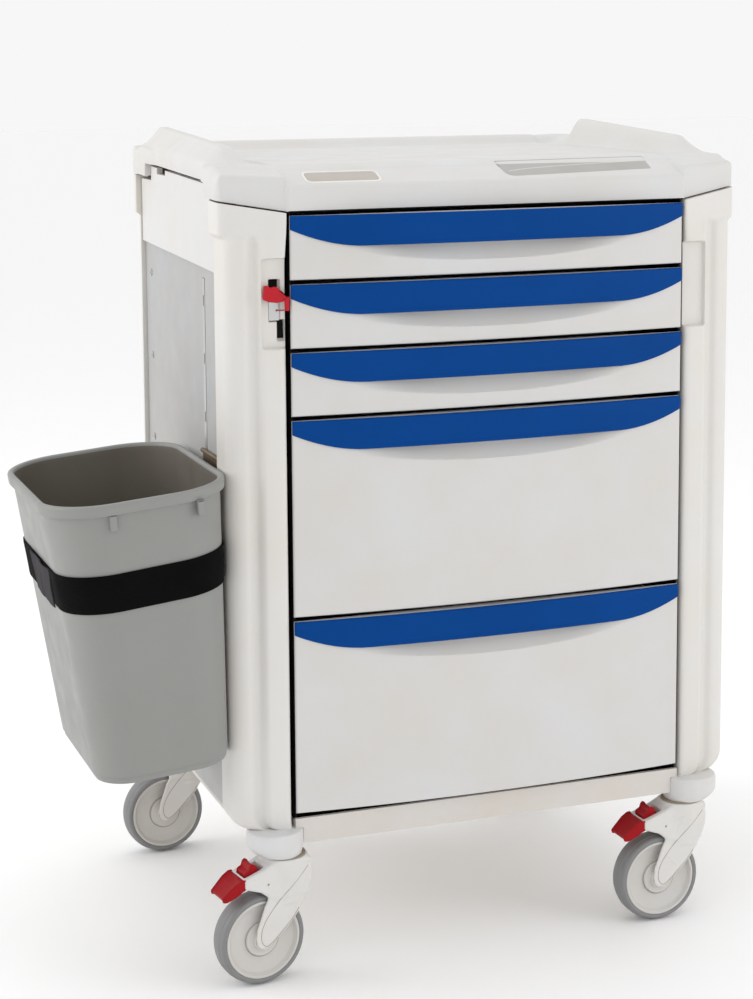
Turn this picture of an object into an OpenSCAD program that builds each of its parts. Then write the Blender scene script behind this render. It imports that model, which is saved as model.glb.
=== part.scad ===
// Five-drawer mobile treatment cart with a strapped-on waste bin.
// All dimensions in millimetres.  +X to the right as a user faces the
// drawers, +Y to the back, +Z up.  The origin is at floor level under the
// centre of the overall box (cabinet and bin together).

/* [Cabinet] */
// Width over the front and rear corner columns
body_w = 738; // [730:1:746]
// Distance from the drawer-edge plane to the rear plane
body_d = 540; // [520:2:560]
// Height of one small drawer, gap included
unit_h = 89.6; // [86:0.2:94]
// Height of the lowest drawer gap above the floor
first_gap = 224.5; // [215:0.5:235]
// Height of the lower edge of the base above the floor
base_z = 186; // [180:1:192]
// Gap between neighbouring drawer fronts
gap = 6; // [4:0.5:8]
// Travel of each drawer
travel = 440; // [380:10:440]

/* [Drawer fronts] */
// Width of a drawer front
front_w = 567; // [560:1:569]
// Forward bow of the fronts at mid width
bow = 14; // [8:1:18]
// Height of a pull at mid width
pull_h = 41; // [34:1:46]
// Thickness of a pull in front of its drawer
pull_t = 4; // [3:0.5:6]

/* [Worktop] */
// Height of the flat top
top_z = 1090; // [1085:1:1095]
// Height of the raised side rims at their front ends
rim_z = 1115; // [1108:1:1120]
// Rise of the rims, ears and side seams from front to rear
rise = 14; // [0:1:18]

/* [Casters] */
// Wheel diameter
wheel_d = 125; // [120:1:125]
// Wheel width
wheel_w = 32; // [28:1:34]
// Distance of each caster stem from the centre line
stem_x = 297.5; // [292:0.5:302]
// Distance from the swivel axis to the wheel axle
trail = 40; // [36:1:42]

/* [Bin] */
// Rim length of the bin, front to back
bin_l = 360; // [350:2:366]
// Rim width of the bin
bin_w = 247; // [245:1:255]
// Height of the bin
bin_h = 378; // [370:1:381]
// Outward lean of the bin in degrees
bin_tilt = 5.2; // [4:0.1:6]

/* [Hidden] */

// shift from the cabinet's own datum (centre line, drawer-edge plane) to the origin
shift_x = 123.5;
shift_y = -254.5;

hw = body_w/2;                 // half width over the columns
head = hw + 6.5;               // half width over the column heads
fw = front_w/2;                // half width of a drawer front
inner = 286;                   // inner edge of the columns
z6 = first_gap + 9*unit_h;     // gap under the worktop
skirt = z6 + 3;                // lower edge of the worktop's front skirt
edge_z = skirt + 31;           // upper edge of the worktop's front skirt
side_z = edge_z;               // seam under the worktop's side skirt
set_back = 23;                 // how far the column faces recede outwards
bow_r = (fw*fw + bow*bow)/(2*bow);
boot_top = 208;
boot_z = 173;
boot_x = 311;
axle_z = wheel_d/2;
stem_y = 13;
rear_y = body_d - stem_y;
// lower edge of each drawer's space, drawer 1 at the top
drawer_z = [first_gap + 8*unit_h, first_gap + 7*unit_h, first_gap + 6*unit_h,
            first_gap + 3*unit_h, first_gap];
drawer_u = [1, 1, 1, 3, 3];
// rail height above the lower edge of each drawer's space
rail_up = [40, 40, 40, 80, 80];

module place() translate([shift_x, shift_y, 0]) children();

// rectangle with round corners, centred
module rrect(w, h, r) {
  square([w - 2*r, h], center = true);
  square([w, h - 2*r], center = true);
  for (i = [-1, 1], j = [-1, 1]) translate([i*(w/2 - r), j*(h/2 - r)]) circle(r = r, $fn = 48);
}

// ---------------------------------------------------------------- worktop
function top_plan(e, f) = [   // e: inset all round, f: extra inset of the front edge
  [-inner + e, e + f], [inner - e, e + f], [inner + 2, 4 + e + f], [head - 4 - e, set_back + e + f],
  [head - e, set_back + 7 + e + f], [head - e, 82], [hw - e, 92], [hw - e, 392], [head - e, 402],
  [head - e, 470], [head - 44 - e, body_d - e], [-head + 44 + e, body_d - e],
  [-head + e, 470], [-head + e, 402], [-hw + e, 392], [-hw + e, 92], [-head + e, 82],
  [-head + e, set_back + 7 + e + f], [-head + 4 + e, set_back + e + f], [-inner - 2, 4 + e + f]];

// raised rim along one side: height profile across X, extruded along Y
module side_rim() {
  hull() {
    translate([hw - 44, 118, top_z - 1]) cube([40, 324, 1]);
    translate([hw - 33, 132, rim_z - 1]) cube([13, 2, 1]);
    translate([hw - 33, 424, rim_z + rise - 1]) cube([13, 2, 1]);
  }
}

// everything below it leans up towards the rear, from y = 25 on
module rising() multmatrix([[1, 0, 0, 0], [0, 1, 0, 0], [0, rise/450, 1, -25*rise/450], [0, 0, 0, 1]]) children();

// low lip along the rear edge
module rear_lip() hull() {
  translate([-336, 498, top_z - 1]) cube([672, 40, 1]);
  translate([-330, 516, top_z + 13]) cube([660, 16, 1]);
}

module worktop() color([0.88, 0.88, 0.87]) place() {
  difference() {
    union() {
      translate([0, 0, skirt]) linear_extrude(edge_z - skirt) polygon(top_plan(0, 0));
      hull() {
        translate([0, 0, edge_z]) linear_extrude(0.5) polygon(top_plan(0, 0));
        translate([0, 0, top_z - 0.5]) linear_extrude(0.5) polygon(top_plan(7, 52));
      }
      side_rim();
      mirror([1, 0, 0]) side_rim();
      rear_lip();
      // rear ears
      for (s = [0, 1]) mirror([s, 0, 0]) hull() {
        translate([0, 0, edge_z - 5]) linear_extrude(1) polygon([[inner + 4, 402], [head, 402], [head, 470], [head - 44, body_d], [inner + 4, body_d]]);
        translate([0, 0, edge_z + 8 + rise]) linear_extrude(0.5) polygon([[inner + 12, 404], [head - 5, 404], [head - 5, 468], [head - 47, body_d - 6], [inner + 12, body_d - 6]]);
      }
    }
    // open underside
    translate([0, 0, skirt - 1]) linear_extrude(top_z - 9 - skirt) polygon(top_plan(7, 42));
    // side skirts stop higher, between the ears
    rising() for (s = [-1, 1]) translate([s*(hw + 10) - 19, 84, skirt - 20]) cube([38, 316, side_z - skirt + 20]);
    // ear seams climb outwards
    rising() for (s = [0, 1]) mirror([s, 0, 0]) translate([inner, -30, skirt])
      multmatrix([[1, 0, 0, 0], [0, 1, 0, 0], [tan(9), 0, 1, 0], [0, 0, 0, 1]]) translate([0, 0, -50]) cube([120, body_d + 60, 50]);
  }
}

// blank badge on the sloping front zone
module name_plate() color([0.80, 0.77, 0.74]) place()
  translate([-205, 21, edge_z + 0.7 + (top_z - edge_z)*21/59]) rotate([atan((top_z - edge_z)/59), 0, 0])
    linear_extrude(2) rrect(104, 25, 5);

// ---------------------------------------------------------------- columns
// front column section on the +X side: inner roll, valley, outer roll
module column_section() {
  difference() {
    union() {
      polygon([[inner, 3], [inner + 3, 0], [inner + 34, 1.5], [inner + 39, 5], [inner + 43, 11],
               [inner + 50, 11.5], [inner + 55, 10.5], [inner + 62, 10.8], [hw - 14, 13.5], [hw - 14, 60], [inner, 60]]);
      translate([hw - 14, 27.5]) circle(r = 14, $fn = 64);
      translate([hw - 14, 27.5]) square([14, 32.5]);
    }
    // channel behind the face, open to the back
    translate([inner + 4, 16]) square([hw - 14 - inner - 2, 50]);
    translate([inner - 1, 24]) square([10, 40]);
  }
}

module column_profile(z0, z1) translate([0, 0, z0]) linear_extrude(z1 - z0) column_section();

// keeps everything above a round lower outer corner
module round_foot(depth) rotate([90, 0, 0]) translate([0, 0, -depth]) linear_extrude(depth + 40) {
  translate([inner - 10, boot_top]) square([hw - inner + 10 - 24, 900]);
  translate([inner, boot_top + 24]) square([hw - inner + 20, 900]);
  translate([hw - 24, boot_top + 24]) circle(r = 24, $fn = 64);
}

// block at the top of a column; its top edge climbs outwards to the ear seam
module column_head(rear = false) {
  difference() {
    translate([0, 0, 1004]) linear_extrude(80)
      if (rear) polygon([[inner, 456], [head, 456], [head, 470], [head - 44, body_d], [inner, body_d]]);
      else polygon([[inner, 60], [inner, 0], [inner + 2, -1], [head - 5, set_back - 2], [head, set_back + 5], [head, 60]]);
    rising() translate([inner, -30, skirt - 2.2]) rotate([0, -9, 0]) translate([-10, 0, 0]) cube([140, 600, 80]);
    // hollow inside
    translate([inner + 4, 16, 1000]) cube([head - inner - 14, rear ? 500 : 60, 80]);
    if (!rear) translate([inner - 1, 24, 1000]) cube([10, 60, 80]);
  }
}

module column_front() {
  difference() {
    union() {
      intersection() { column_profile(boot_top, 1004); round_foot(80); }
      column_head();
    }
    // recessed hand pocket beside the upper drawers
    translate([inner + 18.5, 9, 914.5]) rotate([90, 0, 0]) linear_extrude(20) rrect(35, 118, 5);
  }
}

module column_front_right() color([0.84, 0.83, 0.82]) place() column_front();

module column_front_left() color([0.84, 0.83, 0.82]) place() mirror([1, 0, 0]) difference() {
  column_front();
  // slots for the lock bar
  translate([inner + 10, -5, 890]) cube([15, 26, 57]);
  translate([inner + 1.5, -5, 865]) cube([12, 26, 27]);
}

module column_rear() {
  difference() {
    union() {
      intersection() {
        translate([0, 0, boot_top]) linear_extrude(1004 - boot_top)
          polygon([[inner, 480], [inner + 6, 455], [hw, 455], [hw, 462], [hw - 6, 476], [hw - 46, body_d], [inner, body_d]]);
        union() {
          translate([inner - 1, 400, boot_top + 24]) cube([120, 200, 900]);
          translate([inner - 1, 400, boot_top]) cube([hw - inner - 23, 200, 40]);
          translate([hw - 24, 650, boot_top + 24]) rotate([90, 0, 0]) cylinder(r = 24, h = 300, $fn = 64);
        }
      }
      column_head(true);
    }
    translate([inner + 10, 460, boot_top - 1]) cube([36, 48, 900]);
    translate([inner + 10, 440, boot_top - 1]) cube([60, 36, 820]);
  }
}
module column_rear_right() color([0.84, 0.83, 0.82]) place() column_rear();
module column_rear_left() color([0.84, 0.83, 0.82]) place() mirror([1, 0, 0]) column_rear();

// ---------------------------------------------------------------- panels
module side_panel() {
  difference() {
    union() {
      translate([hw - 11, 60, 222]) cube([4, 395, 800]);
      rising() translate([hw - 11, 60, 960]) cube([4, 395, side_z - 2 - 960]);
      // raised upper band
      rising() translate([hw - 7, 60, 950]) cube([4.5, 395, side_z - 2 - 950]);
      // returns at the lower edge
      translate([hw - 30, 60, 222]) cube([19, 395, 4]);
    }
    // groove for the accessory strip
    translate([hw - 8.5, 133, 700]) cube([4, 12, 238]);
    // slit near the front edge
    translate([hw - 14, 82, 790]) cube([10, 3, 54]);
    // lower top edge under the ears
    translate([hw - 40, 50, 1043]) cube([50, 35, 40]);
    translate([hw - 40, 399, 1043 + 0.8*rise]) cube([50, 80, 60]);
    // notch at the rear end of the top seam
    translate([hw - 20, 318, side_z]) cube([30, 46, 20]);
    // screw holes
    for (i = [0:5]) translate([hw - 20, 425, 308 + 122*i]) rotate([0, 90, 0]) cylinder(r = 2.5, h = 30, $fn = 32);
  }
}
module side_panel_right() color([0.82, 0.81, 0.80]) place() side_panel();
module side_panel_left() color([0.82, 0.81, 0.80]) place() mirror([1, 0, 0]) side_panel();

module back_panel() color([0.80, 0.79, 0.78]) place()
  translate([-inner, body_d - 5, boot_top + 1]) cube([2*inner, 4, skirt - 3 - boot_top]);

module boot_plan(grow = 0) rrect(76 + 2*grow, 72 + 2*grow, 34.5 + grow);

module base_pan() color([0.80, 0.77, 0.74]) place() difference() {
  union() {
    // front lip and floor between the columns
    translate([-inner + 1, 0, base_z]) cube([2*inner - 2, 5.5, first_gap - 4 - base_z]);
    translate([-inner + 1, 0, 208.5]) cube([2*inner - 2, body_d - 5, 6]);
    translate([-inner + 1, body_d - 15, base_z + 4]) cube([2*inner - 2, 9.8, 24]);
    // wider floor between front and rear columns
    for (s = [-1, 1]) translate([s*320 - 38, 62, 211.5]) cube([76, 391, 5]);
    for (s = [-1, 1]) translate([s*(inner - 6) - 5, 0, base_z + 10]) cube([10, body_d - 6, 20.5]);
  }
  for (s = [-1, 1], y = [stem_y, rear_y]) translate([s*boot_x, y, 100]) linear_extrude(boot_top - 100) boot_plan(0.3);
}

module drawer_frame() color([0.05, 0.05, 0.05]) place() {
  difference() {
    translate([-283.5, 6, 217]) cube([567, 525, skirt - 0.2 - 217]);
    translate([-281.5, -1, 218.5]) cube([563, 530.5, skirt - 1.8 - 218.5]);
  }
}

// ---------------------------------------------------------------- slides
module both_sides() { children(); mirror([1, 0, 0]) children(); }
function rail_z(i) = drawer_z[i] + rail_up[i];

module cabinet_slide_rails() color([0.7, 0.7, 0.72]) place() for (i = [0:4]) both_sides() difference() {
  translate([270, 30, rail_z(i) - 16]) cube([11.5, 470, 32]);
  translate([269, 29, rail_z(i) - 14]) cube([9.5, 472, 28]);
}
module slide_mid(i) color([0.75, 0.75, 0.77]) place() both_sides() difference() {
  translate([270, 30, rail_z(i) - 13.6]) cube([8.2, 470, 27.2]);
  translate([269, 29, rail_z(i) - 11.6]) cube([6.4, 472, 23.2]);
}

// ---------------------------------------------------------------- drawers
// height of the lower edge of a pull, measured down from its top edge
function pull_low(x) = abs(x) < 185 ? pull_h
  : pull_h - (pull_h - 18)*pow((abs(x) - 185)/(fw - 185), 1.9);

// plan of a front: a shallow arc made of short chords, closed at the given depth
module bowed(depth) polygon(concat(
  [for (k = [0:48]) let (x = -fw + front_w*k/48) [x, sqrt(bow_r*bow_r - x*x) - bow_r + bow]],
  [[fw, depth], [-fw, depth]]));

module drawer_front(i) color([0.86, 0.85, 0.83]) place() {
  z0 = drawer_z[i] + gap/2;
  z1 = drawer_z[i] + drawer_u[i]*unit_h - gap/2;
  difference() {
    intersection() {
      translate([-fw, -40, z0]) cube([front_w, 44, z1 - z0]);
      translate([0, 0, z0]) linear_extrude(z1 - z0) mirror([0, 1]) bowed(-4);
    }
    // finger scoop behind and below the pull
    intersection() {
      translate([0, -bow - 2, z1 - pull_h - 24 + 880]) rotate([-90, 0, 0]) cylinder(r1 = 880, r2 = 835, h = bow + 2, $fn = 720);
      translate([-205, -30, z1 - pull_h - 30]) cube([410, 30, 61]);
    }
  }
}

// plan of the space in front of an arc of the given sagitta
module arc_disk(sag, lead) {
  r = (fw*fw + sag*sag)/(2*sag);
  translate([0, r - sag - lead]) circle(r = r, $fn = 1080);
}

module drawer_pull(i) color([0.06, 0.25, 0.55]) place() {
  z1 = drawer_z[i] + drawer_u[i]*unit_h - gap/2;
  n = 12;
  intersection() {
    rotate([90, 0, 0]) translate([0, 0, -5]) linear_extrude(60)
      polygon(concat([[fw, z1], [-fw, z1]],
        [for (k = [0:n]) let (x = -fw + (fw - 185)*k/n) [x, z1 - pull_low(x)]],
        [for (k = [0:n]) let (x = 185 + (fw - 185)*k/n) [x, z1 - pull_low(x)]]));
    union() {
      // skin with the finger space behind it
      translate([0, 0, z1 - 60]) linear_extrude(57) difference() {
        arc_disk(bow + pull_t, 1.5);
        arc_disk(bow, 0);
        arc_disk(bow + pull_t, -2);
      }
      // closed top
      translate([0, 0, z1 - 3]) linear_extrude(10) difference() {
        arc_disk(bow + pull_t, 1.5);
        arc_disk(bow, 0);
      }
    }
  }
}

module drawer_tray(i) color([0.62, 0.62, 0.60]) place() {
  z0 = drawer_z[i] + 8;
  h = drawer_u[i]*unit_h - 26;
  difference() {
    translate([-262, 4, z0]) cube([524, 486, h]);
    translate([-259.5, 6.5, z0 + 2.5]) cube([519, 481, h]);
  }
  both_sides() translate([262, 30, rail_z(i) - 11.2]) cube([13, 458, 22.4]);
}

module drawer_1_front() drawer_front(0);
module drawer_2_front() drawer_front(1);
module drawer_3_front() drawer_front(2);
module drawer_4_front() drawer_front(3);
module drawer_5_front() drawer_front(4);
module drawer_1_pull() drawer_pull(0);
module drawer_2_pull() drawer_pull(1);
module drawer_3_pull() drawer_pull(2);
module drawer_4_pull() drawer_pull(3);
module drawer_5_pull() drawer_pull(4);
module drawer_1_tray() drawer_tray(0);
module drawer_2_tray() drawer_tray(1);
module drawer_3_tray() drawer_tray(2);
module drawer_4_tray() drawer_tray(3);
module drawer_5_tray() drawer_tray(4);
module drawer_1_slide_mid() slide_mid(0);
module drawer_2_slide_mid() slide_mid(1);
module drawer_3_slide_mid() slide_mid(2);
module drawer_4_slide_mid() slide_mid(3);
module drawer_5_slide_mid() slide_mid(4);

// ---------------------------------------------------------------- fittings
// perforated steel strip in the groove of each side panel
module accessory_strips() color([0.78, 0.78, 0.76]) place() both_sides() difference() {
  translate([hw - 8.5, 134, 701]) cube([2, 10, 236]);
  for (z = [749, 828, 907]) translate([hw - 12, 137, z - 7]) cube([10, 4, 14]);
}

module panel_screws() color([0.75, 0.75, 0.76]) place() both_sides()
  for (i = [0:5]) translate([hw - 7, 425, 308 + 122*i]) rotate([0, 90, 0]) difference() {
    union() {
      cylinder(r = 5, h = 1.6, $fn = 40);
      translate([0, 0, -12]) cylinder(r = 2.5, h = 12, $fn = 32);
    }
    translate([-3, -0.6, 0.6]) cube([6, 1.2, 3]);
    translate([-0.6, -3, 0.6]) cube([1.2, 6, 3]);
  }

// steel bar inside the left front column, lifted by the hasp
module lock_bar() color([0.6, 0.6, 0.6]) place() {
  translate([-inner - 24, 22, 240]) cube([13, 3, 730]);
  translate([-inner - 22, 13, 892]) cube([9, 9, 26]);
}
module lock_hasp() color([0.72, 0.72, 0.70]) place() difference() {
  translate([-inner - 24.5, 11, 892]) cube([14, 2, 27]);
  translate([-inner - 14, 20, 905]) rotate([90, 0, 0]) cylinder(r = 1.6, h = 20, $fn = 32);
}
// plastic tamper seal threaded through the hasp
module seal_tag() color([0.78, 0.07, 0.12]) place() {
  translate([-inner - 35, 3, 922]) rotate([90, 0, 0]) linear_extrude(4.5) polygon([[0, 0], [8, -4], [24, -5], [28, 1], [20, 12], [11, 13], [5, 16], [0.5, 13]]);
  translate([-inner - 15, -0.7, 905]) rotate([90, 0, 0]) linear_extrude(2.5) polygon([[5, 0], [12, 0], [12, 10], [15, 13], [15, 17], [6, 24], [-6, 30], [-10, 22], [0, 14]]);
  translate([-inner - 14, 12.8, 905]) rotate([90, 0, 0]) cylinder(r = 1.4, h = 15, $fn = 32);
  translate([-inner - 16, -0.7, 903]) rotate([90, 0, 0]) linear_extrude(2) square([12, 4]);
}

// ---------------------------------------------------------------- casters
module corner_boots() color([0.88, 0.88, 0.87]) place()
  for (s = [-1, 1], y = [stem_y, rear_y]) difference() {
    translate([s*boot_x, y, 0]) {
      translate([0, 0, 179]) linear_extrude(boot_top - 179) boot_plan();
      translate([-s*5, 0, boot_z]) linear_extrude(6.5) rrect(62, 62, 30);
    }
    translate([s*stem_x, y, 150]) cylinder(r = 6, h = 50, $fn = 48);
  }

module caster_stems() color([0.7, 0.7, 0.72]) place()
  for (s = [-1, 1], y = [stem_y, rear_y]) translate([s*stem_x, y, 0]) {
    translate([0, 0, 132]) cylinder(r = 6, h = 68, $fn = 48);
    translate([0, 0, 171.8]) cylinder(r = 22, h = 1.2, $fn = 48);
  }

// the caster's own frame: X points from the swivel axis to the wheel axle
module at_caster(x, y, a) place() translate([x, y, 0]) rotate([0, 0, 180 + a]) children();
module at_fl() at_caster(-stem_x, stem_y, 8.5) children();
module at_fr() at_caster(stem_x, stem_y, 1.8) children();
module at_rl() at_caster(-stem_x, rear_y, 5) children();
module at_rr() at_caster(stem_x, rear_y, 3) children();

module lateral(w) rotate([90, 0, 0]) translate([0, 0, -w/2]) linear_extrude(w) children();

module fork(braked) color([0.90, 0.90, 0.89]) difference() {
  union() {
    cylinder(r = 30, h = 41.5, $fn = 64);
    translate([0, 0, 0]) lateral(50) {
      polygon([[-30, 24], [-30, -10], [-25, -26], [-10, -46], [12, -66], [30, -78], [trail + 9, -74],
               [trail + 5, -58], [trail - 6, -40], [trail - 4, -22], [trail + 6, -8], [trail + 16, 0],
               [braked ? trail + 36 : trail + 22, 0], [braked ? trail + 36 : trail + 20, 14], [trail + 10, 24]]);
      translate([trail, axle_z - 130]) circle(r = 14, $fn = 48);
    }
  }
  // slot for the wheel
  translate([-60, -19, -140]) cube([200, 38, 139.5]);
  // swivel bore and axle bore
  translate([0, 0, -10]) cylinder(r = 6.05, h = 60, $fn = 48);
  translate([trail, 40, axle_z - 130]) rotate([90, 0, 0]) cylinder(r = 5, h = 80, $fn = 48);
  // neck is round above the crown
  difference() {
    translate([-40, -40, 24]) cube([180, 80, 30]);
    translate([0, 0, 20]) cylinder(r = 30, h = 40, $fn = 64);
  }
  if (braked) {
    translate([trail + 22, 40, 11]) rotate([90, 0, 0]) cylinder(r = 2.55, h = 80, $fn = 48);
    // well for the brake pedal, open at the top and at the far end
    translate([trail - 6, -16, 5]) cube([60, 32, 40]);
  }
}
// the fork's datum is 130 mm above the floor
module fork_up(braked) translate([0, 0, 130]) fork(braked);

module axle() color([0.72, 0.72, 0.74]) translate([trail, 0, axle_z]) rotate([90, 0, 0]) {
  translate([0, 0, -25]) cylinder(r = 5, h = 50, $fn = 48);
  translate([0, 0, 25]) cylinder(r = 8, h = 1.5, $fn = 48);
  translate([0, 0, -26.5]) cylinder(r = 8, h = 1.5, $fn = 48);
}

module hub() color([0.90, 0.89, 0.87]) translate([trail, 0, axle_z]) rotate([90, 0, 0])
  rotate_extrude($fn = 96) polygon([[5.05, -18.5], [14, -18.5], [15, -12], [24, -11], [26, -7], [44, -7], [49, -14],
    [wheel_d/2 - 9, -14.5], [wheel_d/2 - 9, 14.5], [49, 14], [44, 7], [26, 7], [24, 11], [15, 12], [14, 18.5], [5.05, 18.5]]);

module tyre() color([0.56, 0.56, 0.57]) translate([trail, 0, axle_z]) rotate([90, 0, 0])
  rotate_extrude($fn = 96) polygon([[wheel_d/2 - 9, -14.5], [wheel_d/2 - 7, -wheel_w/2], [wheel_d/2 - 3.5, -wheel_w/2 + 1.5],
    [wheel_d/2 - 0.8, -wheel_w/2 + 7], [wheel_d/2, 0], [wheel_d/2 - 0.8, wheel_w/2 - 7],
    [wheel_d/2 - 3.5, wheel_w/2 - 1.5], [wheel_d/2 - 7, wheel_w/2], [wheel_d/2 - 9, 14.5]]);

// brake pedal with its release tab; it pivots about a lateral axis through
// [trail + 22, 141]
module pedal() color([0.62, 0.10, 0.13]) {
  translate([trail + 22, 23, 141]) rotate([90, 0, 0]) cylinder(r = 2.5, h = 46, $fn = 48);
  translate([0, 0, 130]) lateral(30) polygon([[trail + 2, 9], [trail + 20, 7.5], [trail + 41, 8.5], [trail + 41, 14],
    [trail + 14, 14], [trail + 16, 22], [trail + 9, 30], [trail + 1, 25]]);
  translate([0, 0, 130]) lateral(44) polygon([[trail + 40.5, 21], [trail + 40.5, -6], [trail + 59, -22], [trail + 66, -14], [trail + 54, 6]]);
}

module caster_fl_fork() at_fl() fork_up(true);
module caster_fl_axle() at_fl() axle();
module caster_fl_hub() at_fl() hub();
module caster_fl_tyre() at_fl() tyre();
module caster_fl_pedal() at_fl() pedal();
module caster_fr_fork() at_fr() fork_up(true);
module caster_fr_axle() at_fr() axle();
module caster_fr_hub() at_fr() hub();
module caster_fr_tyre() at_fr() tyre();
module caster_fr_pedal() at_fr() pedal();
module caster_rl_fork() at_rl() fork_up(false);
module caster_rl_axle() at_rl() axle();
module caster_rl_hub() at_rl() hub();
module caster_rl_tyre() at_rl() tyre();
module caster_rr_fork() at_rr() fork_up(false);
module caster_rr_axle() at_rr() axle();
module caster_rr_hub() at_rr() hub();
module caster_rr_tyre() at_rr() tyre();

// ---------------------------------------------------------------- bin
bin_x = -494.5; bin_y = 126; bin_z = 684.3;   // centre of the rim's top plane
module at_bin() place() translate([bin_x, bin_y, bin_z]) rotate([0, -bin_tilt, 0]) children();
module slab(w, l, r, z, t = 0.5) translate([0, 0, z]) linear_extrude(t) rrect(w, l, r);
// outer width and length of the bin wall at depth d under the rim
function wall_w(d) = bin_w - 12 - (bin_w - 12 - 180)*d/bin_h;
function wall_l(d) = bin_l - 12 - (bin_l - 12 - 290)*d/bin_h;
function wall_r(d) = 78 - 26*d/bin_h;

module waste_bin() color([0.55, 0.56, 0.55]) at_bin() difference() {
  union() {
    hull() {
      slab(wall_w(bin_h), wall_l(bin_h), wall_r(bin_h), -bin_h);
      slab(wall_w(0), wall_l(0), wall_r(0), -0.5);
    }
    translate([0, 0, -15]) linear_extrude(15) rrect(bin_w, bin_l, 84);
  }
  hull() {
    slab(wall_w(bin_h) - 5, wall_l(bin_h) - 5, wall_r(bin_h) - 2.5, -bin_h + 3);
    slab(wall_w(0) - 5, wall_l(0) - 5, wall_r(0) - 2.5, 0);
  }
}

// webbing loop round the bin, 50 mm wide
strap_d = 92;
module bin_strap() color([0.03, 0.03, 0.03]) at_bin() difference() {
  hull() {
    slab(wall_w(strap_d) + 6, wall_l(strap_d) + 6, wall_r(strap_d) + 3, -strap_d - 0.5);
    slab(wall_w(strap_d + 50) + 6, wall_l(strap_d + 50) + 6, wall_r(strap_d + 50) + 3, -strap_d - 50);
  }
  hull() {
    slab(wall_w(strap_d - 2) + 1, wall_l(strap_d - 2) + 1, wall_r(strap_d - 2) + 0.5, -strap_d + 2);
    slab(wall_w(strap_d + 52) + 1, wall_l(strap_d + 52) + 1, wall_r(strap_d + 52) + 0.5, -strap_d - 52);
  }
}

// hook-on bracket that carries the strap on the side panel
module bin_hanger() color([0.72, 0.71, 0.69]) place() {
  translate([-hw + 4, 62, 560]) cube([2.8, 84, 138]);
  translate([-hw + 3, 145, 703]) rotate([90, 0, 0]) cylinder(r = 3, h = 84, $fn = 32);
  translate([-hw + 4, 62, 697]) cube([2.8, 84, 4]);
}

worktop();
name_plate();
column_front_left();
column_front_right();
column_rear_left();
column_rear_right();
side_panel_left();
side_panel_right();
back_panel();
base_pan();
drawer_frame();
cabinet_slide_rails();
accessory_strips();
panel_screws();
corner_boots();
caster_stems();
lock_bar();
lock_hasp();
seal_tag();
waste_bin();
bin_strap();
bin_hanger();
drawer_1_front();
drawer_1_pull();
drawer_1_tray();
drawer_1_slide_mid();
drawer_2_front();
drawer_2_pull();
drawer_2_tray();
drawer_2_slide_mid();
drawer_3_front();
drawer_3_pull();
drawer_3_tray();
drawer_3_slide_mid();
drawer_4_front();
drawer_4_pull();
drawer_4_tray();
drawer_4_slide_mid();
drawer_5_front();
drawer_5_pull();
drawer_5_tray();
drawer_5_slide_mid();
caster_fl_fork();
caster_fl_axle();
caster_fl_hub();
caster_fl_tyre();
caster_fl_pedal();
caster_fr_fork();
caster_fr_axle();
caster_fr_hub();
caster_fr_tyre();
caster_fr_pedal();
caster_rl_fork();
caster_rl_axle();
caster_rl_hub();
caster_rl_tyre();
caster_rr_fork();
caster_rr_axle();
caster_rr_hub();
caster_rr_tyre();
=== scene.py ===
import math
import bpy
import numpy as np
from mathutils import Vector, Matrix


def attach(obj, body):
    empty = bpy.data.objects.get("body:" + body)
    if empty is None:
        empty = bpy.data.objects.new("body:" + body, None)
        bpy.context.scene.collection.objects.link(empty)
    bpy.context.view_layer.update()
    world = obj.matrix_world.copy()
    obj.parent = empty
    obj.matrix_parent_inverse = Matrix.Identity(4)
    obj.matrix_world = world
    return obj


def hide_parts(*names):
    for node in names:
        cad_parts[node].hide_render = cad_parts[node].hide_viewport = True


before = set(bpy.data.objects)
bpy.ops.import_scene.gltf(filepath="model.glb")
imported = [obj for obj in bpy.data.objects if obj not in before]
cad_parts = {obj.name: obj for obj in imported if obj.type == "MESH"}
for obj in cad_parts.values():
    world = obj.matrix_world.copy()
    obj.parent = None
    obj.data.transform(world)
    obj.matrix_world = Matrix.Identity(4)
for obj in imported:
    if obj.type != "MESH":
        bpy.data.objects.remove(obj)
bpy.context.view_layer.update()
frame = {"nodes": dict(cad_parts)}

SHIFT = np.array([0.1235, -0.2545, 0.0])


# ------------------------------------------------------------------ helpers
def make(name, verts, faces, mat, body, rep=(), sharp=32, slot=None, local=None):
    """A mesh from points in cabinet millimetres, riding on a CAD body."""
    v = np.asarray(verts, float) / 1000 + SHIFT
    me = bpy.data.meshes.new(name)
    me.from_pydata(v.tolist(), [], [list(map(int, f)) for f in faces])
    me.validate()
    me.update()
    me.shade_smooth()
    if sharp is not None:
        me.set_sharp_from_angle(angle=math.radians(sharp))
    o = bpy.data.objects.new(name, me)
    bpy.context.scene.collection.objects.link(o)
    for m in (mat if isinstance(mat, (list, tuple)) else [mat]):
        me.materials.append(m)
    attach(o, body)
    if rep:
        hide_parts(*rep)
    return o


def join(*parts):
    vs, fs, n = [], [], 0
    for v, f in parts:
        vs.append(np.asarray(v, float))
        fs += [[i + n for i in q] for q in f]
        n += len(v)
    return np.vstack(vs), fs


def grid_faces(nu, nv, close_u=False, close_v=False):
    f = []
    for i in range(nu if close_u else nu - 1):
        for j in range(nv if close_v else nv - 1):
            a, b = i, (i + 1) % nu
            c, d = j, (j + 1) % nv
            f.append([a * nv + c, b * nv + c, b * nv + d, a * nv + d])
    return f


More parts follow.
